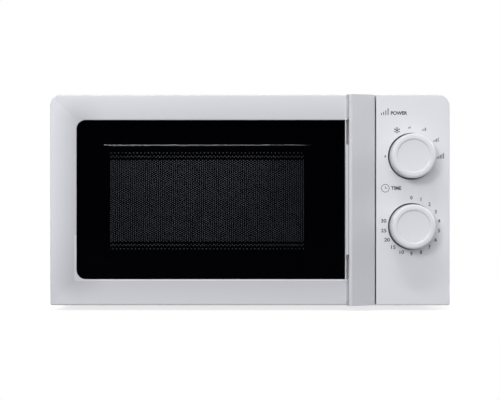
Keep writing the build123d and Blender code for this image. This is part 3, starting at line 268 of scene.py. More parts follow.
def join(pieces, name):
    """Join several pieces into the first one."""
    clear()
    for piece in pieces:
        piece.select_set(True)
    bpy.context.view_layer.objects.active = pieces[0]
    bpy.ops.object.join()
    pieces[0].name = name
    pieces[0].data.name = name
    return pieces[0]


def copy_of(piece, name):
    """A copy of a piece with a mesh of its own."""
    twin = piece.copy()
    twin.data = piece.data.copy()
    twin.name = name
    bpy.context.scene.collection.objects.link(twin)
    return twin


def hand_over(piece, body, slot, finish, *replaced):
    """Give a piece its finish and the body it moves with."""
    piece.data.materials.clear()
    piece.data.materials.append(finish)
    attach(piece, body)
    if replaced:
        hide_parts(*replaced)
    print(piece.name, "has", len(piece.data.polygons), "faces and rides on", body)


# %% [markdown]
# ## Effects that several finishes share
#
# Plastics, paints and metals differ in colour and gloss, but each of them is
# uneven in the same few ways. Those ways are built once as shader node
# groups: a slow drift in tone with a fine grain, brushed or drawn lines, and
# dust that lies on upward faces. Each material then sets its own values.

# %% Helpers for node groups
def new_group(name, inputs, outputs):
    """A shader node group with named value, colour or vector sockets."""
    group = bpy.data.node_groups.new(name, "ShaderNodeTree")
    kinds = {"value": "NodeSocketFloat", "colour": "NodeSocketColor", "vector": "NodeSocketVector"}
    for socket_name, kind, value in inputs:
        socket = group.interface.new_socket(socket_name, in_out="INPUT", socket_type=kinds[kind])
        socket.default_value = value
    for socket_name, kind in outputs:
        group.interface.new_socket(socket_name, in_out="OUTPUT", socket_type=kinds[kind])
    group_in = group.nodes.new("NodeGroupInput")
    group_out = group.nodes.new("NodeGroupOutput")
    return group, group_in, group_out


# %% The moulded surface group: tone drift, gloss drift and fine grain
moulded, g_in, g_out = new_group(
    "moulded_surface",
    [("Colour", "colour", (0.8, 0.8, 0.8, 1)), ("Drift", "value", 0.05),
     ("Roughness", "value", 0.4), ("Gloss Drift", "value", 0.08), ("Grain Scale", "value", 1800.0)],
    [("Colour", "colour"), ("Roughness", "value"), ("Height", "value")],
)
place = node(moulded, "TexCoord")
slow = node(moulded, "TexNoise", Scale=9.0, Detail=3.0, Roughness=0.55)
patchy = node(moulded, "TexNoise", Scale=70.0, Detail=4.0, Roughness=0.6)
grain = node(moulded, "TexNoise", Detail=2.0, Roughness=0.5)
darker = node(moulded, "Math", operation="MULTIPLY")
tone = node(moulded, "Math", {0: 1.0}, operation="SUBTRACT")
tint = blend_node(moulded, "MULTIPLY", Factor=1.0)
centred = node(moulded, "Math", {1: 0.5}, operation="SUBTRACT")
spread = node(moulded, "Math", operation="MULTIPLY_ADD")
for texture in (slow, patchy, grain):
    link(place, "Object", texture, "Vector")
link(g_in, "Grain Scale", grain, "Scale")
link(slow, "Fac", darker, 0)
link(g_in, "Drift", darker, 1)
link(darker, 0, tone, 1)
as_grey = grey_of(moulded, tone, 0)
link(g_in, "Colour", tint, "A")
link(as_grey, 0, tint, "B")
link(patchy, "Fac", centred, 0)
link(centred, 0, spread, 0)
link(g_in, "Gloss Drift", spread, 1)
link(g_in, "Roughness", spread, 2)
link(tint, "Result", g_out, "Colour")
link(spread, 0, g_out, "Roughness")
link(grain, "Fac", g_out, "Height")
print("group", moulded.name, "with", len(moulded.nodes), "nodes")

# %% The drawn metal group: long fine lines and faint scratches
drawn, g_in, g_out = new_group(
    "drawn_metal",
    [("Colour", "colour", (0.6, 0.6, 0.6, 1)), ("Roughness", "value", 0.35),
     ("Line Depth", "value", 0.2), ("Stretch", "vector", (1.0, 1.0, 30.0)),
     ("Scratches", "value", 0.3)],
    [("Colour", "colour"), ("Roughness", "value"), ("Height", "value")],
)
place = node(drawn, "TexCoord")
stretch = node(drawn, "VectorMath", operation="MULTIPLY")
lines = node(drawn, "TexNoise", Scale=90.0, Detail=4.0, Roughness=0.65)
blotch = node(drawn, "TexNoise", Scale=28.0, Detail=3.0)
scratch = node(drawn, "TexVoronoi", feature="DISTANCE_TO_EDGE", Scale=34.0)
thin = node(drawn, "MapRange", From_Min=0.0, From_Max=0.012, To_Min=1.0, To_Max=0.0)
amount = node(drawn, "Math", operation="MULTIPLY")
depth = node(drawn, "Math", operation="MULTIPLY")
rough_lines = node(drawn, "Math", {1: 0.22}, operation="MULTIPLY_ADD")
rough_all = node(drawn, "Math", {1: 0.18}, operation="MULTIPLY_ADD")
toned = blend_node(drawn, "MULTIPLY", Factor=1.0)
tones = node(drawn, "MapRange", To_Min=0.78, To_Max=1.06)
link(place, "Object", stretch, 0)
link(g_in, "Stretch", stretch, 1)
link(stretch, 0, lines, "Vector")
link(place, "Object", blotch, "Vector")
link(place, "Object", scratch, "Vector")
link(scratch, "Distance", thin, "Value")
link(thin, "Result", amount, 0)
link(g_in, "Scratches", amount, 1)
link(lines, "Fac", depth, 0)
link(g_in, "Line Depth", depth, 1)
link(blotch, "Fac", rough_lines, 0)
link(g_in, "Roughness", rough_lines, 2)
link(amount, 0, rough_all, 0)
link(rough_lines, 0, rough_all, 2)
link(blotch, "Fac", tones, "Value")
grey = grey_of(drawn, tones, "Result")
link(g_in, "Colour", toned, "A")
link(grey, 0, toned, "B")
link(toned, "Result", g_out, "Colour")
link(rough_all, 0, g_out, "Roughness")
link(depth, 0, g_out, "Height")
print("group", drawn.name, "with", len(drawn.nodes), "nodes")

# %% The dust group: a thin veil on faces that look up
dust, g_in, g_out = new_group(
    "dust_veil",
    [("Colour", "colour", (0.8, 0.8, 0.8, 1)), ("Roughness", "value", 0.4),
     ("Amount", "value", 0.15)],
    [("Colour", "colour"), ("Roughness", "value")],
)
shape = node(dust, "NewGeometry")
place = node(dust, "TexCoord")
parts = node(dust, "SeparateXYZ")
upward = node(dust, "MapRange", From_Min=0.6)
cloud = node(dust, "TexNoise", Scale=38.0, Detail=5.0, Roughness=0.65)
veil = node(dust, "Math", operation="MULTIPLY")
share = node(dust, "Math", operation="MULTIPLY")
over = blend_node(dust, B=(0.55, 0.53, 0.5, 1))
duller = node(dust, "Math", operation="ADD")
link(shape, "Normal", parts, 0)
link(parts, "Z", upward, "Value")
link(place, "Object", cloud, "Vector")
link(upward, "Result", veil, 0)
link(cloud, "Fac", veil, 1)
link(veil, 0, share, 0)
link(g_in, "Amount", share, 1)
link(share, 0, over, "Factor")
link(g_in, "Colour", over, "A")
link(g_in, "Roughness", duller, 0)
link(share, 0, duller, 1)
link(over, "Result", g_out, "Colour")
link(duller, 0, g_out, "Roughness")
print("group", dust.name, "with", len(dust.nodes), "nodes")


# %% [markdown]
# ## Finishes
#
# A moulded plastic or a paint is the moulded group, the dust group and a
# bump, and its hard CAD edges are softened by a Bevel node, which bends the
# normals within half a millimetre of an edge. That shows the rounding of a
# real moulding and leaves the solids as they are.

# %% A finish from the shared groups
def empty_material(name):
    """A material with only a Principled shader and its output."""
    made = bpy.data.materials.new(name)
    made.use_nodes = True
    made.node_tree.nodes.clear()
    shader = node(made.node_tree, "BsdfPrincipled")
    end = node(made.node_tree, "OutputMaterial")
    link(shader, 0, end, "Surface")
    return made, made.node_tree, shader


def grouped(tree, group, **values):
    """Place a node group and set its inputs."""
    made = node(tree, "Group", node_tree=group)
    fill(made, **values)
    return made


def tinted(material, group, **values):
    """Put a colour group between a plastic's colour and its shader."""
    tree = material.node_tree
    shader = next(item for item in tree.nodes if item.type == "BSDF_PRINCIPLED")
    before = shader.inputs["Base Color"].links[0].from_socket
    tone = grouped(tree, group, **values)
    tree.links.new(before, tone.inputs["Colour"])
    link(tone, "Colour", shader, "Base Color")


def dusted(tree, shader, base, amount):
    """Lay the dust group between a base group and the shader."""
    film = grouped(tree, dust, Amount=amount)
    for name, target in (("Colour", "Base Color"), ("Roughness", "Roughness")):
        link(base, name, film, name)
        link(film, name, shader, target)


def bumped(tree, shader, height, distance, strength, edge):
    """Feed a height into the shader's normal, over softened edges."""
    bump = node(tree, "Bump", Distance=distance, Strength=strength)
    tree.links.new(height, bump.inputs["Height"])
    if edge:
        soft = node(tree, "Bevel", samples=4, Radius=edge)
        link(soft, "Normal", bump, "Normal")
    link(bump, "Normal", shader, "Normal")


def plastic(name, colour, roughness, drift=0.03, gloss_drift=0.08, grain=1800.0, depth=0.00004,
            strength=0.35, dusty=0.06, edge=0.0005, coat=0.0):
    """Moulded plastic, rubber or paint."""
    made, tree, shader = empty_material(name)
    base = grouped(tree, moulded, Colour=(*colour, 1), Drift=drift, Roughness=roughness,
                   Gloss_Drift=gloss_drift, Grain_Scale=grain)
    dusted(tree, shader, base, dusty)
    fill(shader, Coat_Weight=coat, Coat_Roughness=0.12)
    bumped(tree, shader, base.outputs["Height"], depth, strength, edge)
    return made


def metal(name, colour, roughness, line_depth=0.3, stretch=(1, 1, 30), scratches=0.3):
    """Bare sheet, cast or drawn metal."""
    made, tree, shader = empty_material(name)
    base = grouped(tree, drawn, Colour=(*colour, 1), Roughness=roughness, Line_Depth=line_depth,
                   Stretch=stretch, Scratches=scratches)
    dusted(tree, shader, base, 0.08)
    fill(shader, Metallic=1.0)
    bumped(tree, shader, base.outputs["Height"], 0.00003, 0.4, 0.0003)
    return made


finishes = {
    "white_plastic": plastic("white_plastic", (0.765, 0.762, 0.798), 0.38, edge=0.0006),
    "knob_plastic": plastic("knob_plastic", (0.755, 0.752, 0.788), 0.24, edge=0.0),
    "cabinet_paint": plastic("cabinet_paint", (0.70, 0.70, 0.733), 0.42, grain=700.0, depth=0.00006,
                             dusty=0.16, edge=0.0008, coat=0.15),
    "cavity_enamel": plastic("cavity_enamel", (0.60, 0.605, 0.60), 0.34, drift=0.05, grain=110.0,
                             gloss_drift=0.03, depth=0.00015, strength=0.3, edge=0.0),
    "screen_paint": plastic("screen_paint", (0.0020, 0.0026, 0.0080), 0.08, drift=0.2,
                            gloss_drift=0.02, grain=120.0, depth=0.00001, strength=0.05,
                            dusty=0.0, edge=0.0),
    "dark_plastic": plastic("dark_plastic", (0.03, 0.03, 0.033), 0.45, drift=0.12),
    "grey_plastic": plastic("grey_plastic", (0.32, 0.325, 0.335), 0.5, drift=0.08),
    "natural_plastic": plastic("natural_plastic", (0.66, 0.64, 0.58), 0.42, drift=0.06),
    "rubber": plastic("rubber", (0.42, 0.43, 0.44), 0.72, drift=0.2, grain=900.0,
                      depth=0.0001, dusty=0.3),
    "ferrite": plastic("ferrite", (0.045, 0.043, 0.045), 0.62, drift=0.2, grain=1200.0,
                       depth=0.0001, dusty=0.1),
    "zinc_steel": metal("zinc_steel", (0.60, 0.61, 0.62), 0.38, stretch=(2, 2, 2), scratches=0.5),
    "core_steel": metal("core_steel", (0.30, 0.29, 0.28), 0.5, stretch=(1, 60, 1), line_depth=0.8),
    "aluminium": metal("aluminium", (0.78, 0.78, 0.79), 0.3),
    "copper_metal": metal("copper_metal", (0.72, 0.38, 0.22), 0.32),
    "screw_steel": metal("screw_steel", (0.62, 0.62, 0.64), 0.28, line_depth=0.2),
}
print("made", len(finishes), "finishes from the groups")

# %% [markdown]
# The door's front is a shallow dish that turns away from the light towards
# the glass. The fall in tone is small but the eye reads the frame by it. The
# modelled dish is flat within each band, so the door's plastic gets a painted
# shade: a mask measures how near a point is to the window's rounded edge and
# darkens there, most on the side away from the dials, and a little more towards
# the bottom of the door. The rounded lip under the glass looks up at the light,
# and a painted highlight makes it paler.

# %% The painted shade towards a rectangular opening
recess, g_in, g_out = new_group(
    "recess_shade",
    [("Colour", "colour", (0.8, 0.8, 0.8, 1)), ("Centre", "vector", (0, 0, 0)),
     ("Half Size", "vector", (0.1, 1, 0.1)),
     ("Reach", "value", 0.03), ("Darkest", "value", 0.12), ("Other Sides", "value", 0.5),
     ("Low Shade", "value", 0.91), ("Edge Highlight", "value", 0.25)],
    [("Colour", "colour")],
)
place = node(recess, "TexCoord")
away = node(recess, "VectorMath", operation="SUBTRACT")
size_of = node(recess, "VectorMath", operation="ABSOLUTE")
past = node(recess, "VectorMath", operation="SUBTRACT")
outside = node(recess, "VectorMath", operation="MAXIMUM")
flat = node(recess, "VectorMath", {1: (1, 0, 1)}, operation="MULTIPLY")
far = node(recess, "VectorMath", operation="LENGTH")
# Painted shade: the nearer a point is to the window's edge, the darker it is made.
near = node(recess, "Math", operation="DIVIDE")
turned = node(recess, "Math", {0: 1.0}, operation="SUBTRACT", use_clamp=True)
fall = node(recess, "Math", operation="MULTIPLY")
along = node(recess, "SeparateXYZ")
# Painted shade: strongest left of the window, weaker on its other sides.
side = node(recess, "MapRange", interpolation_type="SMOOTHSTEP", From_Min=-0.150, From_Max=-0.110,
            To_Min=1.0)
sided = node(recess, "Math", operation="MULTIPLY")
left_tone = node(recess, "Math", {0: 1.0}, operation="SUBTRACT")
height = node(recess, "SeparateXYZ")
# Painted shade: a little darker towards the bottom of the door.
low_down = node(recess, "MapRange", interpolation_type="SMOOTHSTEP", From_Min=0.02, From_Max=0.11)
lowered = node(recess, "Math", operation="MULTIPLY")
# Painted highlight: a narrow band along the window's lower edge is made paler.
at_edge = node(recess, "Math", {1: 0.0018}, operation="LESS_THAN")
below = node(recess, "Math", {1: -0.04}, operation="LESS_THAN")
edge_highlight = node(recess, "Math", operation="MULTIPLY")
lighter = node(recess, "Math", {2: 1.0}, operation="MULTIPLY_ADD")
with_edge = node(recess, "Math", operation="MULTIPLY")
shade = blend_node(recess, "MULTIPLY", Factor=1.0)
link(place, "Object", away, 0)
link(g_in, "Centre", away, 1)
link(away, 0, size_of, 0)
link(size_of, 0, past, 0)
link(g_in, "Half Size", past, 1)
link(past, 0, outside, 0)
link(outside, 0, flat, 0)
link(flat, 0, far, 0)
link(far, "Value", near, 0)
link(g_in, "Reach", near, 1)
link(near, 0, turned, 1)
link(turned, 0, fall, 0)
link(g_in, "Darkest", fall, 1)
link(away, 0, along, 0)
link(along, "X", side, "Value")
link(g_in, "Other Sides", side, "To Max")
link(fall, 0, sided, 0)
link(side, "Result", sided, 1)
link(sided, 0, left_tone, 1)
link(place, "Object", height, 0)
link(height, "Z", low_down, "Value")
link(g_in, "Low Shade", low_down, "To Min")
link(left_tone, 0, lowered, 0)
link(low_down, "Result", lowered, 1)
link(far, "Value", at_edge, 0)
link(along, "Z", below, 0)
link(at_edge, 0, edge_highlight, 0)
link(below, 0, edge_highlight, 1)
link(edge_highlight, 0, lighter, 0)
link(g_in, "Edge Highlight", lighter, 1)
link(lowered, 0, with_edge, 0)
link(lighter, 0, with_edge, 1)
grey = grey_of(recess, with_edge, 0)
link(g_in, "Colour", shade, "A")
link(grey, 0, shade, "B")
link(shade, "Result", g_out, "Colour")
print("group", recess.name, "with", len(recess.nodes), "nodes")

# %% The door's plastic
pane_border_x, pane_border_z = 0.004, 0.0045    # glass hidden behind the frame
door_plastic = plastic("door_plastic", (0.705, 0.706, 0.748), 0.38, edge=0.0010)
glass_low, glass_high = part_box("door_glass")
window_half = ((glass_high[0] - glass_low[0]) / 2 - pane_border_x, 0.0,
               (glass_high[2] - glass_low[2]) / 2 - pane_border_z)
# Painted shade towards the window and a painted highlight on its lower lip.
tinted(door_plastic, recess, Reach=0.026, Darkest=0.29, Half_Size=window_half,
       Centre=[(low + high) / 2 for low, high in zip(glass_low, glass_high)])
print("door plastic with its shade; window half size", [round(v, 4) for v in window_half])

# %% [markdown]
# The dials turn in round wells. Little light gets down the gap beside a dial,
# so the panel's plastic gets a painted shade inside the two wells. The grip's
# plastic is a shade deeper than the frame's, a painted shade for its slope,
# which faces away from the light. A painted light makes it paler in the finger
# channel behind the lip, where light bounces between the walls. A painted
# highlight makes the lip's rounded nose a little lighter, and a painted shadow
# line runs in the groove where the tabs meet it.

# %% A painted shade or light inside a box or a round pocket
pocket, g_in, g_out = new_group(
    "pocket_painted_light",
    [("Colour", "colour", (0.8, 0.8, 0.8, 1)), ("Centre", "vector", (0, 0, 0)),
     ("Half Size", "vector", (0.02, 0.02, 0.02)),
     ("Inside", "colour", (0.2, 0.2, 0.2, 1))],
    [("Colour", "colour")],
)
place = node(pocket, "TexCoord")
away = node(pocket, "VectorMath", operation="SUBTRACT")
scaled = node(pocket, "VectorMath", operation="DIVIDE")
split = node(pocket, "SeparateXYZ")
depth_only = node(pocket, "Math", operation="ABSOLUTE")
in_depth = node(pocket, "Math", {1: 1.0}, operation="LESS_THAN")
facing_only = node(pocket, "VectorMath", {1: (1, 0, 1)}, operation="MULTIPLY")
round_way = node(pocket, "VectorMath", operation="LENGTH")
in_round = node(pocket, "Math", {1: 1.0}, operation="LESS_THAN")
both = node(pocket, "Math", operation="MULTIPLY")
swap = blend_node(pocket)
link(place, "Object", away, 0)
link(g_in, "Centre", away, 1)
link(away, 0, scaled, 0)
link(g_in, "Half Size", scaled, 1)
link(scaled, 0, split, 0)
link(split, "Y", depth_only, 0)
link(depth_only, 0, in_depth, 0)
link(scaled, 0, facing_only, 0)
link(facing_only, 0, round_way, 0)
link(round_way, "Value", in_round, 0)
link(in_depth, 0, both, 0)
link(in_round, 0, both, 1)
link(both, 0, swap, "Factor")
link(g_in, "Colour", swap, "A")
link(g_in, "Inside", swap, "B")
link(swap, "Result", g_out, "Colour")
print("group", pocket.name, "with", len(pocket.nodes), "nodes")

# %% The panel's and the grip's plastic
knob_x = 0.1826
power_z, timer_z = 0.1744, 0.0951
# Paler than the door's white: painted light, brightening the right of the oven where the panel
# stands.
panel_plastic = plastic("panel_plastic", (0.748, 0.746, 0.784), 0.38, edge=0.0006)
# Painted shade inside the two dial wells.
for dial_z in (power_z, timer_z):
    tinted(panel_plastic, pocket, Centre=(knob_x, -0.1378, dial_z),
           Half_Size=(0.0261, 0.0100, 0.0261), Inside=(0.14, 0.14, 0.155, 1))
# A shade deeper than the door's white: painted shade for the grip's slope, which faces away from
# the light.
grip_plastic = plastic("grip_plastic", (0.610, 0.609, 0.648), 0.38, edge=0.0006)
# Painted light in the finger channel, a painted highlight on the lip's nose and a painted shadow in
# the groove beside it.
grip_painted_light = {
    "finger channel": ((0.1130, -0.1440, 0.125), (0.0155, 0.0070, 0.1175), (0.86, 0.86, 0.89, 1)),
    "nose": ((0.1126, -0.1592, 0.125), (0.00145, 0.0022, 0.30), (0.715, 0.714, 0.755, 1)),
    "seam shadow": ((0.1108, -0.1575, 0.125), (0.00055, 0.0008, 0.30), (0.36, 0.36, 0.385, 1)),
}
for centre, half_size, inside in grip_painted_light.values():
    tinted(grip_plastic, pocket, Centre=centre, Half_Size=half_size, Inside=inside)
print("panel and grip plastics with their pockets")

# %% [markdown]
# Some finishes need a texture of their own. Mica is pressed flakes, the
# windings are rows of lacquered wire, the circuit board is lacquered green
# with pale traces, and the glass parts let light through.

# %% Mica, windings and circuit board
mica, tree, shader = empty_material("mica")
place = node(tree, "TexCoord")
flakes = node(tree, "TexVoronoi", Scale=160.0, Randomness=1.0)
spots = node(tree, "TexNoise", Scale=45.0, Detail=5.0)
ramp = ramp_node(tree, (0.30, 0.23, 0.14), (0.62, 0.54, 0.40))
flake_tone = node(tree, "RGBToBW")
mix = blend_node(tree, "OVERLAY", Factor=0.35)
link(place, "Object", flakes, "Vector")
link(place, "Object", spots, "Vector")
link(spots, "Fac", ramp, "Fac")
link(ramp, "Color", mix, "A")
link(flakes, "Color", flake_tone, "Color")
link(flake_tone, "Val", mix, "B")
link(mix, "Result", shader, "Base Color")
fill(shader, Roughness=0.32)
bumped(tree, shader, flakes.outputs["Distance"], 0.0001, 0.3, None)
finishes["mica"] = mica

winding, tree, shader = empty_material("copper_winding")
place = node(tree, "TexCoord")
wires = node(tree, "TexWave", wave_type="BANDS", bands_direction="Z", Scale=260.0,
             Distortion=0.6, Detail=1.0)
ramp = ramp_node(tree, (0.10, 0.028, 0.012), (0.52, 0.20, 0.08))
link(place, "Object", wires, "Vector")
link(wires, "Fac", ramp, "Fac")
link(ramp, "Color", shader, "Base Color")
fill(shader, Metallic=0.4, Roughness=0.34)
bumped(tree, shader, wires.outputs["Fac"], 0.0003, 0.6, None)
finishes["copper_winding"] = winding

board, tree, shader = empty_material("board")
place = node(tree, "TexCoord")
traces = node(tree, "TexBrick", Scale=55.0, Mortar_Size=0.03, Color1=(0.025, 0.10, 0.045, 1),
              Color2=(0.030, 0.12, 0.055, 1), Mortar=(0.12, 0.26, 0.13, 1))
speck = node(tree, "TexNoise", Scale=300.0)
link(place, "Object", traces, "Vector")
link(place, "Object", speck, "Vector")
link(traces, "Color", shader, "Base Color")
fill(shader, Roughness=0.3)
bumped(tree, shader, speck.outputs["Fac"], 0.00005, 0.3, None)
finishes["board"] = board
print("mica, winding and board ready")

# %% [markdown]
# The window pane is smoked glass. A real refracting slab would block the
# light that should fall through it onto the screen, so the pane is a dark
# sheet that is partly see-through. The turntable is clear pressed glass, and
# there the bending of light is what makes it read as glass.

# %% Window glass, clear film and pressed glass
pane, tree, shader = empty_material("window_glass")
place = node(tree, "TexCoord")
smear = node(tree, "TexNoise", Scale=14.0, Detail=6.0, Roughness=0.6)
rough = node(tree, "MapRange", To_Min=0.03, To_Max=0.09)
link(place, "Object", smear, "Vector")
link(smear, "Fac", rough, "Value")
link(rough, "Result", shader, "Roughness")
fill(shader, Base_Color=(0.0005, 0.0005, 0.0008, 1), Alpha=0.38)
finishes["window_glass"] = pane

film, tree, shader = empty_material("clear_film")
place = node(tree, "TexCoord")
ripple = node(tree, "TexNoise", Scale=22.0, Detail=3.0)
link(place, "Object", ripple, "Vector")
fill(shader, Base_Color=(0.35, 0.36, 0.37, 1), Roughness=0.12, Alpha=0.12)
bumped(tree, shader, ripple.outputs["Fac"], 0.0004, 0.3, None)
finishes["clear_film"] = film

pressed, tree, shader = empty_material("plate_glass")
place = node(tree, "TexCoord")
waves = node(tree, "TexNoise", Scale=60.0, Detail=2.0)
link(place, "Object", waves, "Vector")
fill(shader, Base_Color=(0.90, 0.96, 0.95, 1), Roughness=0.03, Transmission_Weight=1.0, IOR=1.47)
bumped(tree, shader, waves.outputs["Fac"], 0.0003, 0.15, None)
finishes["plate_glass"] = pressed
print("glass ready;", len(finishes), "finishes in all")

# %% [markdown]
# ## Finishing the CAD nodes
#
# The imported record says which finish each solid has. The slots of each CAD
# node are filled with the finish of that name, and its shape isn't touched.

# %% Give every CAD node its finish
for name, item in nodes.items():
    for place_in_list, old in enumerate(item.data.materials):
        word = old.name.split(".")[0] if old else ""
        if word in finishes:
            item.data.materials[place_in_list] = finishes[word]
        else:
            print("no finish for", name, word)
nodes["door_frame"].data.materials[0] = door_plastic
nodes["door_grip"].data.materials[0] = grip_plastic
nodes["control_panel"].data.materials[0] = panel_plastic
print("finished", len(nodes), "nodes")

# %% [markdown]
# ## Knobs
#
# Each dial is a cap with a broad rounded rim and a dished face. It could be
# spun from a profile, but a cylinder with two insets and three bevels keeps
# every dimension in sight: the rim's width, the depth of the face and the
# radius of each rounding. The skirt tapers a little towards the panel, as a
# moulding has to, and the back is hollowed out and keeps a hub for the shaft.

# %% Model one knob
knob_low, knob_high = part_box("timer_knob")
knob_radius = (knob_high[0] - knob_low[0]) / 2
knob_depth = knob_high[1] - knob_low[1]
rim_width, wall_width, dish = 0.0060, 0.0012, 0.0010
cap_radius = knob_radius - 0.0003
skirt_taper = 0.986           # back face to front face
shell, gap_to_hub, hollow_depth = 0.0025, 0.0161, 0.0226
on_line = 0.0002              # how near a point has to be to count as on a circle


def round_ring(knob, radius, y, z, offset, segments):
    """Round the edges that lie on a circle around the knob's axis."""
    def on_circle(end):
        away = math.hypot(end.x - knob_x, end.z - z)
        return abs(away - radius) <= on_line and abs(end.y - y) <= on_line
    pick_edges(knob, lambda a, b: on_circle(a) and on_circle(b))
    bpy.ops.mesh.bevel(offset=offset, segments=segments, profile=0.5)


def make_knob(name, z):
    """A hollow cap with a broad rounded rim and a dished face."""
    clear()
    bpy.ops.mesh.primitive_cylinder_add(
        vertices=96, radius=cap_radius, depth=knob_depth,
        location=(knob_x, (knob_low[1] + knob_high[1]) / 2, z), rotation=(math.radians(90), 0, 0))
    knob = bpy.context.object
    bpy.ops.object.transform_apply()
    bpy.ops.object.mode_set(mode="EDIT")
    pick_faces(knob, lambda centre, normal: normal.y < -0.9)
    bpy.ops.mesh.inset(thickness=rim_width, depth=0.0)
    bpy.ops.mesh.inset(thickness=wall_width, depth=-dish)
    pick_faces(knob, lambda centre, normal: normal.y > 0.9)
    bpy.ops.transform.resize(value=(skirt_taper, 1, skirt_taper),
                             center_override=(knob_x, knob_high[1], z))
    for thickness, depth in ((shell, 0.0), (0.0002, -hollow_depth),
                             (gap_to_hub, 0.0), (0.0001, hollow_depth)):
        bpy.ops.mesh.inset(thickness=thickness, depth=depth)
    round_ring(knob, cap_radius, knob_low[1], z, 0.0030, 7)
    round_ring(knob, cap_radius - rim_width, knob_low[1], z, 0.0007, 4)
    round_ring(knob, cap_radius - rim_width - wall_width, knob_low[1] + dish, z, 0.0005, 3)
    bpy.ops.object.mode_set(mode="OBJECT")
    return settle(knob, name, smooth_angle=40)


for dial, z in (("timer", timer_z), ("power", power_z)):
    hand_over(make_knob(dial + "_cap", z), dial + "_dial", "knob_plastic", finishes["knob_plastic"],
              dial + "_knob")

# %% [markdown]
# ## The perforated screen
#
# The door's screen keeps the microwaves in and lets light out: black painted
# steel with thousands of small holes in a honeycomb pattern. One hexagonal
# cell with a hole is modelled, a second one is set beside it half a step
# higher, and two Array modifiers repeat the pair. Solidify then gives the
# sheet its thickness. Each cell has six sides only, so that the whole screen
# stays light.

# %% Model one cell and repeat it
pitch = 0.00245
web = 0.00060                 # half the steel between two holes
column_step = pitch * math.cos(math.radians(30))
cell_radius = pitch / math.sqrt(3)
screen_low, screen_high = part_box("screen_mesh")
columns, rows = 104, 46
field_width = (columns - 1) * column_step + 2 * cell_radius
field_height = (rows + 0.5) * pitch
start_x = (screen_low[0] + screen_high[0] - field_width) / 2 + cell_radius
start_z = (screen_low[2] + screen_high[2] - field_height) / 2 + pitch / 2
sheet_y = screen_low[1] + 0.0002


def make_cell(x, z):
    """A flat hexagon with a hole, facing the front."""
    clear()
    bpy.ops.mesh.primitive_circle_add(vertices=6, radius=cell_radius, fill_type="NGON",
                                      location=(0, 0, 0), rotation=(math.radians(90), 0, 0))
    cell = bpy.context.object
    bpy.ops.object.transform_apply()
    bpy.ops.object.mode_set(mode="EDIT")
    bpy.ops.mesh.select_all(action="SELECT")
    bpy.ops.transform.rotate(value=math.radians(30), orient_axis="Y", center_override=(0, 0, 0))
    bpy.ops.mesh.inset(thickness=web, depth=0.0)
    bpy.ops.mesh.delete(type="FACE")
    bpy.ops.mesh.select_all(action="SELECT")
    bpy.ops.transform.translate(value=(x, sheet_y, z))
    bpy.ops.object.mode_set(mode="OBJECT")
    return cell


screen = join([make_cell(start_x, start_z), make_cell(start_x + column_step, start_z + pitch / 2)],
              "perforated_screen")
for name, offset, count in (("across", (2 * column_step, 0, 0), columns // 2),
                            ("up", (0, 0, pitch), rows)):
    repeat = screen.modifiers.new(name, "ARRAY")
    repeat.use_relative_offset = False
    repeat.use_constant_offset = True
    repeat.constant_offset_displace = offset
    repeat.count = count
apply_modifiers(screen)
bpy.ops.object.mode_set(mode="EDIT")
bpy.ops.mesh.select_all(action="SELECT")
bpy.ops.mesh.remove_doubles(threshold=0.00002)
bpy.ops.mesh.normals_make_consistent(inside=False)
bpy.ops.object.mode_set(mode="OBJECT")
if screen.data.polygons[0].normal.y > 0:
    screen.data.flip_normals()
thicken(screen, 0.0005)
print("screen holes", columns * rows, "faces", len(screen.data.polygons))

# %% [markdown]
# The holes lie in a raised field that is pressed out of the same sheet. Its
# edge is a narrow chamfer, which catches the light from above as one thin
# bright line behind the glass. A box gives the field, its upright edges are
# bevelled, the back is taken away, and two insets of the front give the
# chamfer and then open it for the holes. Near the top and near the bottom of
# the field two bands are blank, so that the outer rows stand apart as dotted
# lines.

# %% Press the raised field round the holes
field_margin = 0.0081
field_y = screen_low[1] - 0.0003
base_y = -0.1361
field_wider = 0.0022
chamfer_width, chamfer_depth = 0.0013, 0.00072
corner_radius = 0.0050
side_chamfer = 1.011          # widens the front face, which makes the side chamfers steep
overlap = 0.0006              # how far the opening's frame reaches over the first holes
side_reach = 0.9610           # the opening's frame reaches further in at the sides
centre_x = (screen_low[0] + screen_high[0]) / 2
centre_z = (screen_low[2] + screen_high[2]) / 2
rim_y = field_y + chamfer_depth
clear()
bpy.ops.mesh.primitive_cube_add(size=1, location=(centre_x, (rim_y + base_y) / 2, centre_z))
field = bpy.context.object
field.scale = (screen_high[0] - screen_low[0] + 2 * (field_margin + field_wider), base_y - rim_y,
               screen_high[2] - screen_low[2] + 2 * field_margin)
bpy.ops.object.transform_apply()
bpy.ops.object.mode_set(mode="EDIT")
pick_edges(field, lambda a, b: abs(a.y - b.y) > 0.002)
bpy.ops.mesh.bevel(offset=corner_radius, segments=6)
pick_faces(field, lambda centre, normal: normal.y > 0.9)
bpy.ops.mesh.delete(type="FACE")
pick_faces(field, lambda centre, normal: normal.y < -0.9)
bpy.ops.mesh.inset(thickness=chamfer_width, depth=chamfer_depth)
bpy.ops.transform.resize(value=(side_chamfer, 1, 1), center_override=(centre_x, field_y, centre_z))
bpy.ops.mesh.inset(thickness=field_margin - chamfer_width + overlap, depth=0.0)
bpy.ops.transform.resize(value=(side_reach, 1, 1), center_override=(centre_x, field_y, centre_z))
bpy.ops.mesh.delete(type="FACE")
bpy.ops.object.mode_set(mode="OBJECT")
thicken(field, 0.0006)
print("raised field", len(field.data.polygons), "faces")

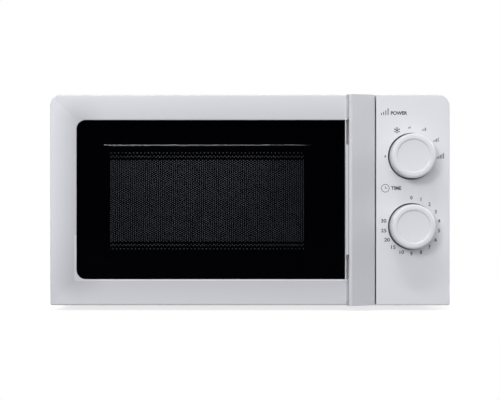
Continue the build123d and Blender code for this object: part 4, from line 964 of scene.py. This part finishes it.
# %% Close two bands above and two below the dense holes
band_height, band_depth = 0.00240, 0.0005
bands = []
for from_centre in (0.05265, 0.04775):
    for side in (-1, 1):
        clear()
        bpy.ops.mesh.primitive_cube_add(
            size=1, location=(centre_x, sheet_y, centre_z + side * from_centre))
        band = bpy.context.object
        band.scale = (field_width - 0.0006, band_depth, band_height)
        bpy.ops.object.transform_apply()
        bands.append(band)
print("closed", len(bands), "bands of holes")
screen = join([screen, field, *bands], "perforated_screen")
settle(screen, "perforated_screen", smooth_angle=20)
hand_over(screen, "door", "screen_paint", finishes["screen_paint"], "screen_mesh")

# %% [markdown]
# ## Printed marks
#
# The panel carries only generic marks: the numbers of the dials, rising bars
# for the power steps, a snowflake for thawing, a clock, and the two plain
# words for what each dial sets. On the real panel they are printed in dark
# grey ink. Each mark is a flat mesh a few hundredths of a millimetre proud of
# the plastic. The characters are text turned into mesh and then scaled to
# their printed height.

# %% Ink and helpers for flat marks
ink, tree, shader = empty_material("grey_ink")
place = node(tree, "TexCoord")
worn = node(tree, "TexNoise", Scale=900.0, Detail=3.0)
ramp = ramp_node(tree, (0.022, 0.023, 0.028), (0.060, 0.062, 0.070))
link(place, "Object", worn, "Vector")
link(worn, "Fac", ramp, "Fac")
link(ramp, "Color", shader, "Base Color")
fill(shader, Roughness=0.5)
finishes["grey_ink"] = ink
ink_y = door_face_y - 0.00006
marks = []
print("grey ink ready")


def print_word(text, x, z, height, width=None, centred=False, heavier=0.022, stretch=1.0):
    """Characters whose foot is at z, starting at x or centred on it."""
    clear()
    bpy.ops.object.text_add(location=(0, 0, 0), rotation=(0, 0, 0))
    word = bpy.context.object
    word.data.body = text
    word.data.offset = heavier
    bpy.ops.object.convert(target="MESH")
    word = bpy.context.object
    low = Vector([min(v.co[i] for v in word.data.vertices) for i in range(3)])
    high = Vector([max(v.co[i] for v in word.data.vertices) for i in range(3)])
    tall = height / (high.y - low.y)
    wide = width / (high.x - low.x) if width else tall * stretch
    bpy.ops.object.mode_set(mode="EDIT")
    bpy.ops.mesh.select_all(action="SELECT")
    start = (low.x + high.x) / 2 if centred else low.x
    bpy.ops.transform.translate(value=(-start, -low.y, 0))
    bpy.ops.transform.resize(value=(wide, tall, 1), center_override=(0, 0, 0))
    bpy.ops.object.mode_set(mode="OBJECT")
    word.rotation_euler = (math.radians(90), 0, 0)
    word.location = (x, ink_y, z)
    bpy.ops.object.transform_apply()
    marks.append(word)


def print_bar(x, z, width, height, turn=0.0):
    """A small printed rectangle centred at x and z, turned clockwise."""
    clear()
    bpy.ops.mesh.primitive_plane_add(size=1, location=(0, 0, 0), rotation=(math.radians(90), 0, 0))
    bar = bpy.context.object
    bar.scale = (width, height, 1)
    bpy.ops.object.transform_apply()
    bpy.ops.object.mode_set(mode="EDIT")
    bpy.ops.mesh.select_all(action="SELECT")
    bpy.ops.transform.rotate(value=math.radians(turn), orient_axis="Y", center_override=(0, 0, 0))
    bpy.ops.transform.translate(value=(x, ink_y, z))
    bpy.ops.object.mode_set(mode="OBJECT")
    marks.append(bar)


# %% Numbers of the time dial, one every 20 degrees
numbers = [str(number) for number in (*range(11), 15, 20, 25, 30)]
number_step = 20
number_circle = 0.0318
number_height = 0.0041
number_lift = 0.0008
for i, text in enumerate(numbers):
    angle = math.radians(number_step * i)
    print_word(text, knob_x + number_circle * math.sin(angle),
               timer_z + number_circle * math.cos(angle) - number_height / 2 + number_lift,
               number_height, centred=True, stretch=1.15 if len(text) > 1 else 1.0)
print("printed", len(marks), "numbers")

# %% Rising bars, snowflake, clock and the two words
bar_heights = (0.0016, 0.0026, 0.0036, 0.0047, 0.0057)
bar_pitch, bar_width = 0.00165, 0.0008


def print_bars(count, x, z, shrink):
    """A row of rising bars, centred at x and z."""
    tallest = bar_heights[count - 1] * shrink
    left = x - bar_pitch * shrink * (count - 1) / 2
    for i in range(count):
        tall = bar_heights[i] * shrink
        print_bar(left + i * bar_pitch * shrink, z - tallest / 2 + tall / 2, bar_width * shrink,
                  tall)


def around_power(degrees, radius):
    """A place on a circle around the power dial."""
    angle = math.radians(degrees)
    return knob_x + radius * math.sin(angle), power_z + radius * math.cos(angle)


for count, degrees, radius, shrink in ((1, -90, 0.0297, 1.5), (2, -4, 0.0328, 0.95),
                                       (3, 25, 0.0338, 1.05), (4, 56, 0.0335, 1.0),
                                       (5, 89, 0.0328, 1.1)):
    print_bars(count, *around_power(degrees, radius), shrink)

flake_x, flake_z = around_power(-29, 0.0336)
flake, twig = 0.0068, 0.0006
for turn in (0, 60, 120):
    print_bar(flake_x, flake_z, 0.00070, flake, turn)
for turn in range(0, 360, 60):
    angle = math.radians(turn)
    tip_x = flake_x + flake * 0.36 * math.sin(angle)
    tip_z = flake_z + flake * 0.36 * math.cos(angle)
    for lean in (-1, 1):
        side = math.radians(turn + lean * 45)
        print_bar(tip_x + twig * math.sin(side), tip_z + twig * math.cos(side), 0.0005, 0.0014,
                  turn + lean * 45)

head_x, power_foot = 0.1487, 0.2212
for i, tall in enumerate((0.0024, 0.0036, 0.0052, 0.0074)):
    print_bar(head_x + i * 0.0025, power_foot + tall / 2, 0.0010, tall)
print_word("POWER", 0.1593, power_foot, 0.0042, width=0.0186, heavier=0.034)
print_word("TIME", 0.1596, 0.1364, 0.0041, width=0.0116, heavier=0.034)

clock_x, clock_z, clock_radius = 0.1531, 0.1383, 0.0047
clear()
bpy.ops.mesh.primitive_circle_add(
    vertices=48, radius=clock_radius, fill_type="NGON", location=(clock_x, ink_y, clock_z),
    rotation=(math.radians(90), 0, 0))
clock = bpy.context.object
bpy.ops.object.transform_apply()
bpy.ops.object.mode_set(mode="EDIT")
bpy.ops.mesh.select_all(action="SELECT")
bpy.ops.mesh.inset(thickness=0.0006, depth=0.0)
bpy.ops.mesh.delete(type="FACE")
bpy.ops.object.mode_set(mode="OBJECT")
marks.append(clock)
print_bar(clock_x, clock_z + 0.0013, 0.0006, 0.0028)
print_bar(clock_x + 0.0010, clock_z, 0.0024, 0.0006)
printed = join(marks, "panel_marks")
settle(printed, "panel_marks")
hand_over(printed, "cabinet", "dark_plastic", ink)

# %% [markdown]
# ## Feet
#
# The oven stands on four soft feet. Each one is a tapered cylinder with a
# rounded sole, a ring groove that grips the table and a recess for its screw.
# One is modelled at the origin and copied to the four corners.

# %% Model one foot
foot_low, foot_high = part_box("feet")
foot_radius = 0.011
sole_taper, groove_depth, screw_recess = 0.84, 0.0010, 0.0050
foot_tall = foot_high[2] - foot_low[2]
clear()
bpy.ops.mesh.primitive_cylinder_add(
    vertices=48, radius=foot_radius, depth=foot_tall, location=(0, 0, foot_tall / 2))
foot = bpy.context.object
bpy.ops.object.transform_apply()
bpy.ops.object.mode_set(mode="EDIT")
pick_faces(foot, lambda centre, normal: normal.z < -0.9)
bpy.ops.transform.resize(value=(sole_taper, sole_taper, 1), center_override=(0, 0, 0))
for thickness, depth in ((0.0016, 0.0), (0.0002, -groove_depth), (0.0012, 0.0),
                         (0.0002, groove_depth), (0.0018, 0.0), (0.0003, -screw_recess)):
    bpy.ops.mesh.inset(thickness=thickness, depth=depth)
pick_edges(foot, lambda a, b: max(a.z, b.z) < 0.0001
           and min(math.hypot(a.x, a.y), math.hypot(b.x, b.y)) > foot_radius * 0.82)
bpy.ops.mesh.bevel(offset=0.0009, segments=4)
bpy.ops.object.mode_set(mode="OBJECT")
print("one foot", len(foot.data.polygons), "faces")

# %% Copy it to the four corners
feet = []
for x in (foot_low[0] + foot_radius, foot_high[0] - foot_radius):
    for y in (foot_low[1] + foot_radius, foot_high[1] - foot_radius):
        twin = copy_of(foot, "foot")
        twin.location = (x, y, 0)
        feet.append(twin)
clear()
foot.select_set(True)
bpy.ops.object.delete()
soles = join(feet, "soft_feet")
settle(soles, "soft_feet", smooth_angle=40)
hand_over(soles, "cabinet", "rubber", finishes["rubber"], "feet")

# %% [markdown]
# ## The table
#
# A plain pale floor that keeps the oven's own soft shadow close to it and
# turns into the white of the background a hand's width further out. The
# window mirrors what lies in front of it, so for mirrored rays the floor is
# nearly black, as it would be with a dark cloth laid before the oven.

# %% Floor
floor_paint, tree, shader = empty_material("floor_paint")
place = node(tree, "TexCoord")
soft = node(tree, "TexNoise", Scale=1.5, Detail=2.0)
ramp = ramp_node(tree, (0.34, 0.34, 0.34), (0.38, 0.38, 0.38))
link(place, "Object", soft, "Vector")
link(soft, "Fac", ramp, "Fac")
link(ramp, "Color", shader, "Base Color")
fill(shader, Roughness=0.8, Specular_IOR_Level=0.1, Emission_Color=(1, 1, 1, 1),
     Emission_Strength=0.78)
from_middle = node(tree, "VectorMath", operation="ABSOLUTE")
past = node(tree, "VectorMath", {1: (0.20, 0.13, 0.0)}, operation="SUBTRACT")
outside = node(tree, "VectorMath", operation="MAXIMUM")
gap = node(tree, "VectorMath", operation="LENGTH")
fade = node(tree, "MapRange", interpolation_type="SMOOTHSTEP", From_Min=0.02, From_Max=0.30)
plain = node(tree, "Emission", Strength=1.0)
seen_floor = node(tree, "MixShader")
seen = node(tree, "LightPath")
dim = node(tree, "BsdfDiffuse", Color=(0.22, 0.22, 0.225, 1))
black = node(tree, "BsdfDiffuse", Color=(0.01, 0.01, 0.01, 1))
mirrored = node(tree, "MixShader")
choose = node(tree, "MixShader")
link(place, "Object", from_middle, 0)
link(from_middle, 0, past, 0)
link(past, 0, outside, 0)
link(outside, 0, gap, 0)
link(gap, "Value", fade, "Value")
link(fade, "Result", seen_floor, "Fac")
link(shader, 0, seen_floor, 1)
link(plain, 0, seen_floor, 2)
link(seen, "Is Glossy Ray", mirrored, "Fac")
link(dim, 0, mirrored, 1)
link(black, 0, mirrored, 2)
link(seen, "Is Camera Ray", choose, "Fac")
link(mirrored, 0, choose, 1)
link(seen_floor, 0, choose, 2)
for item in tree.nodes:
    if item.type == "OUTPUT_MATERIAL":
        link(choose, 0, item, "Surface")
clear()
bpy.ops.mesh.primitive_plane_add(size=12, location=(0, 0, -0.0002))
floor = bpy.context.object
floor.name = "floor"
bpy.ops.object.transform_apply()
floor.data.materials.append(floor_paint)
print("floor ready")
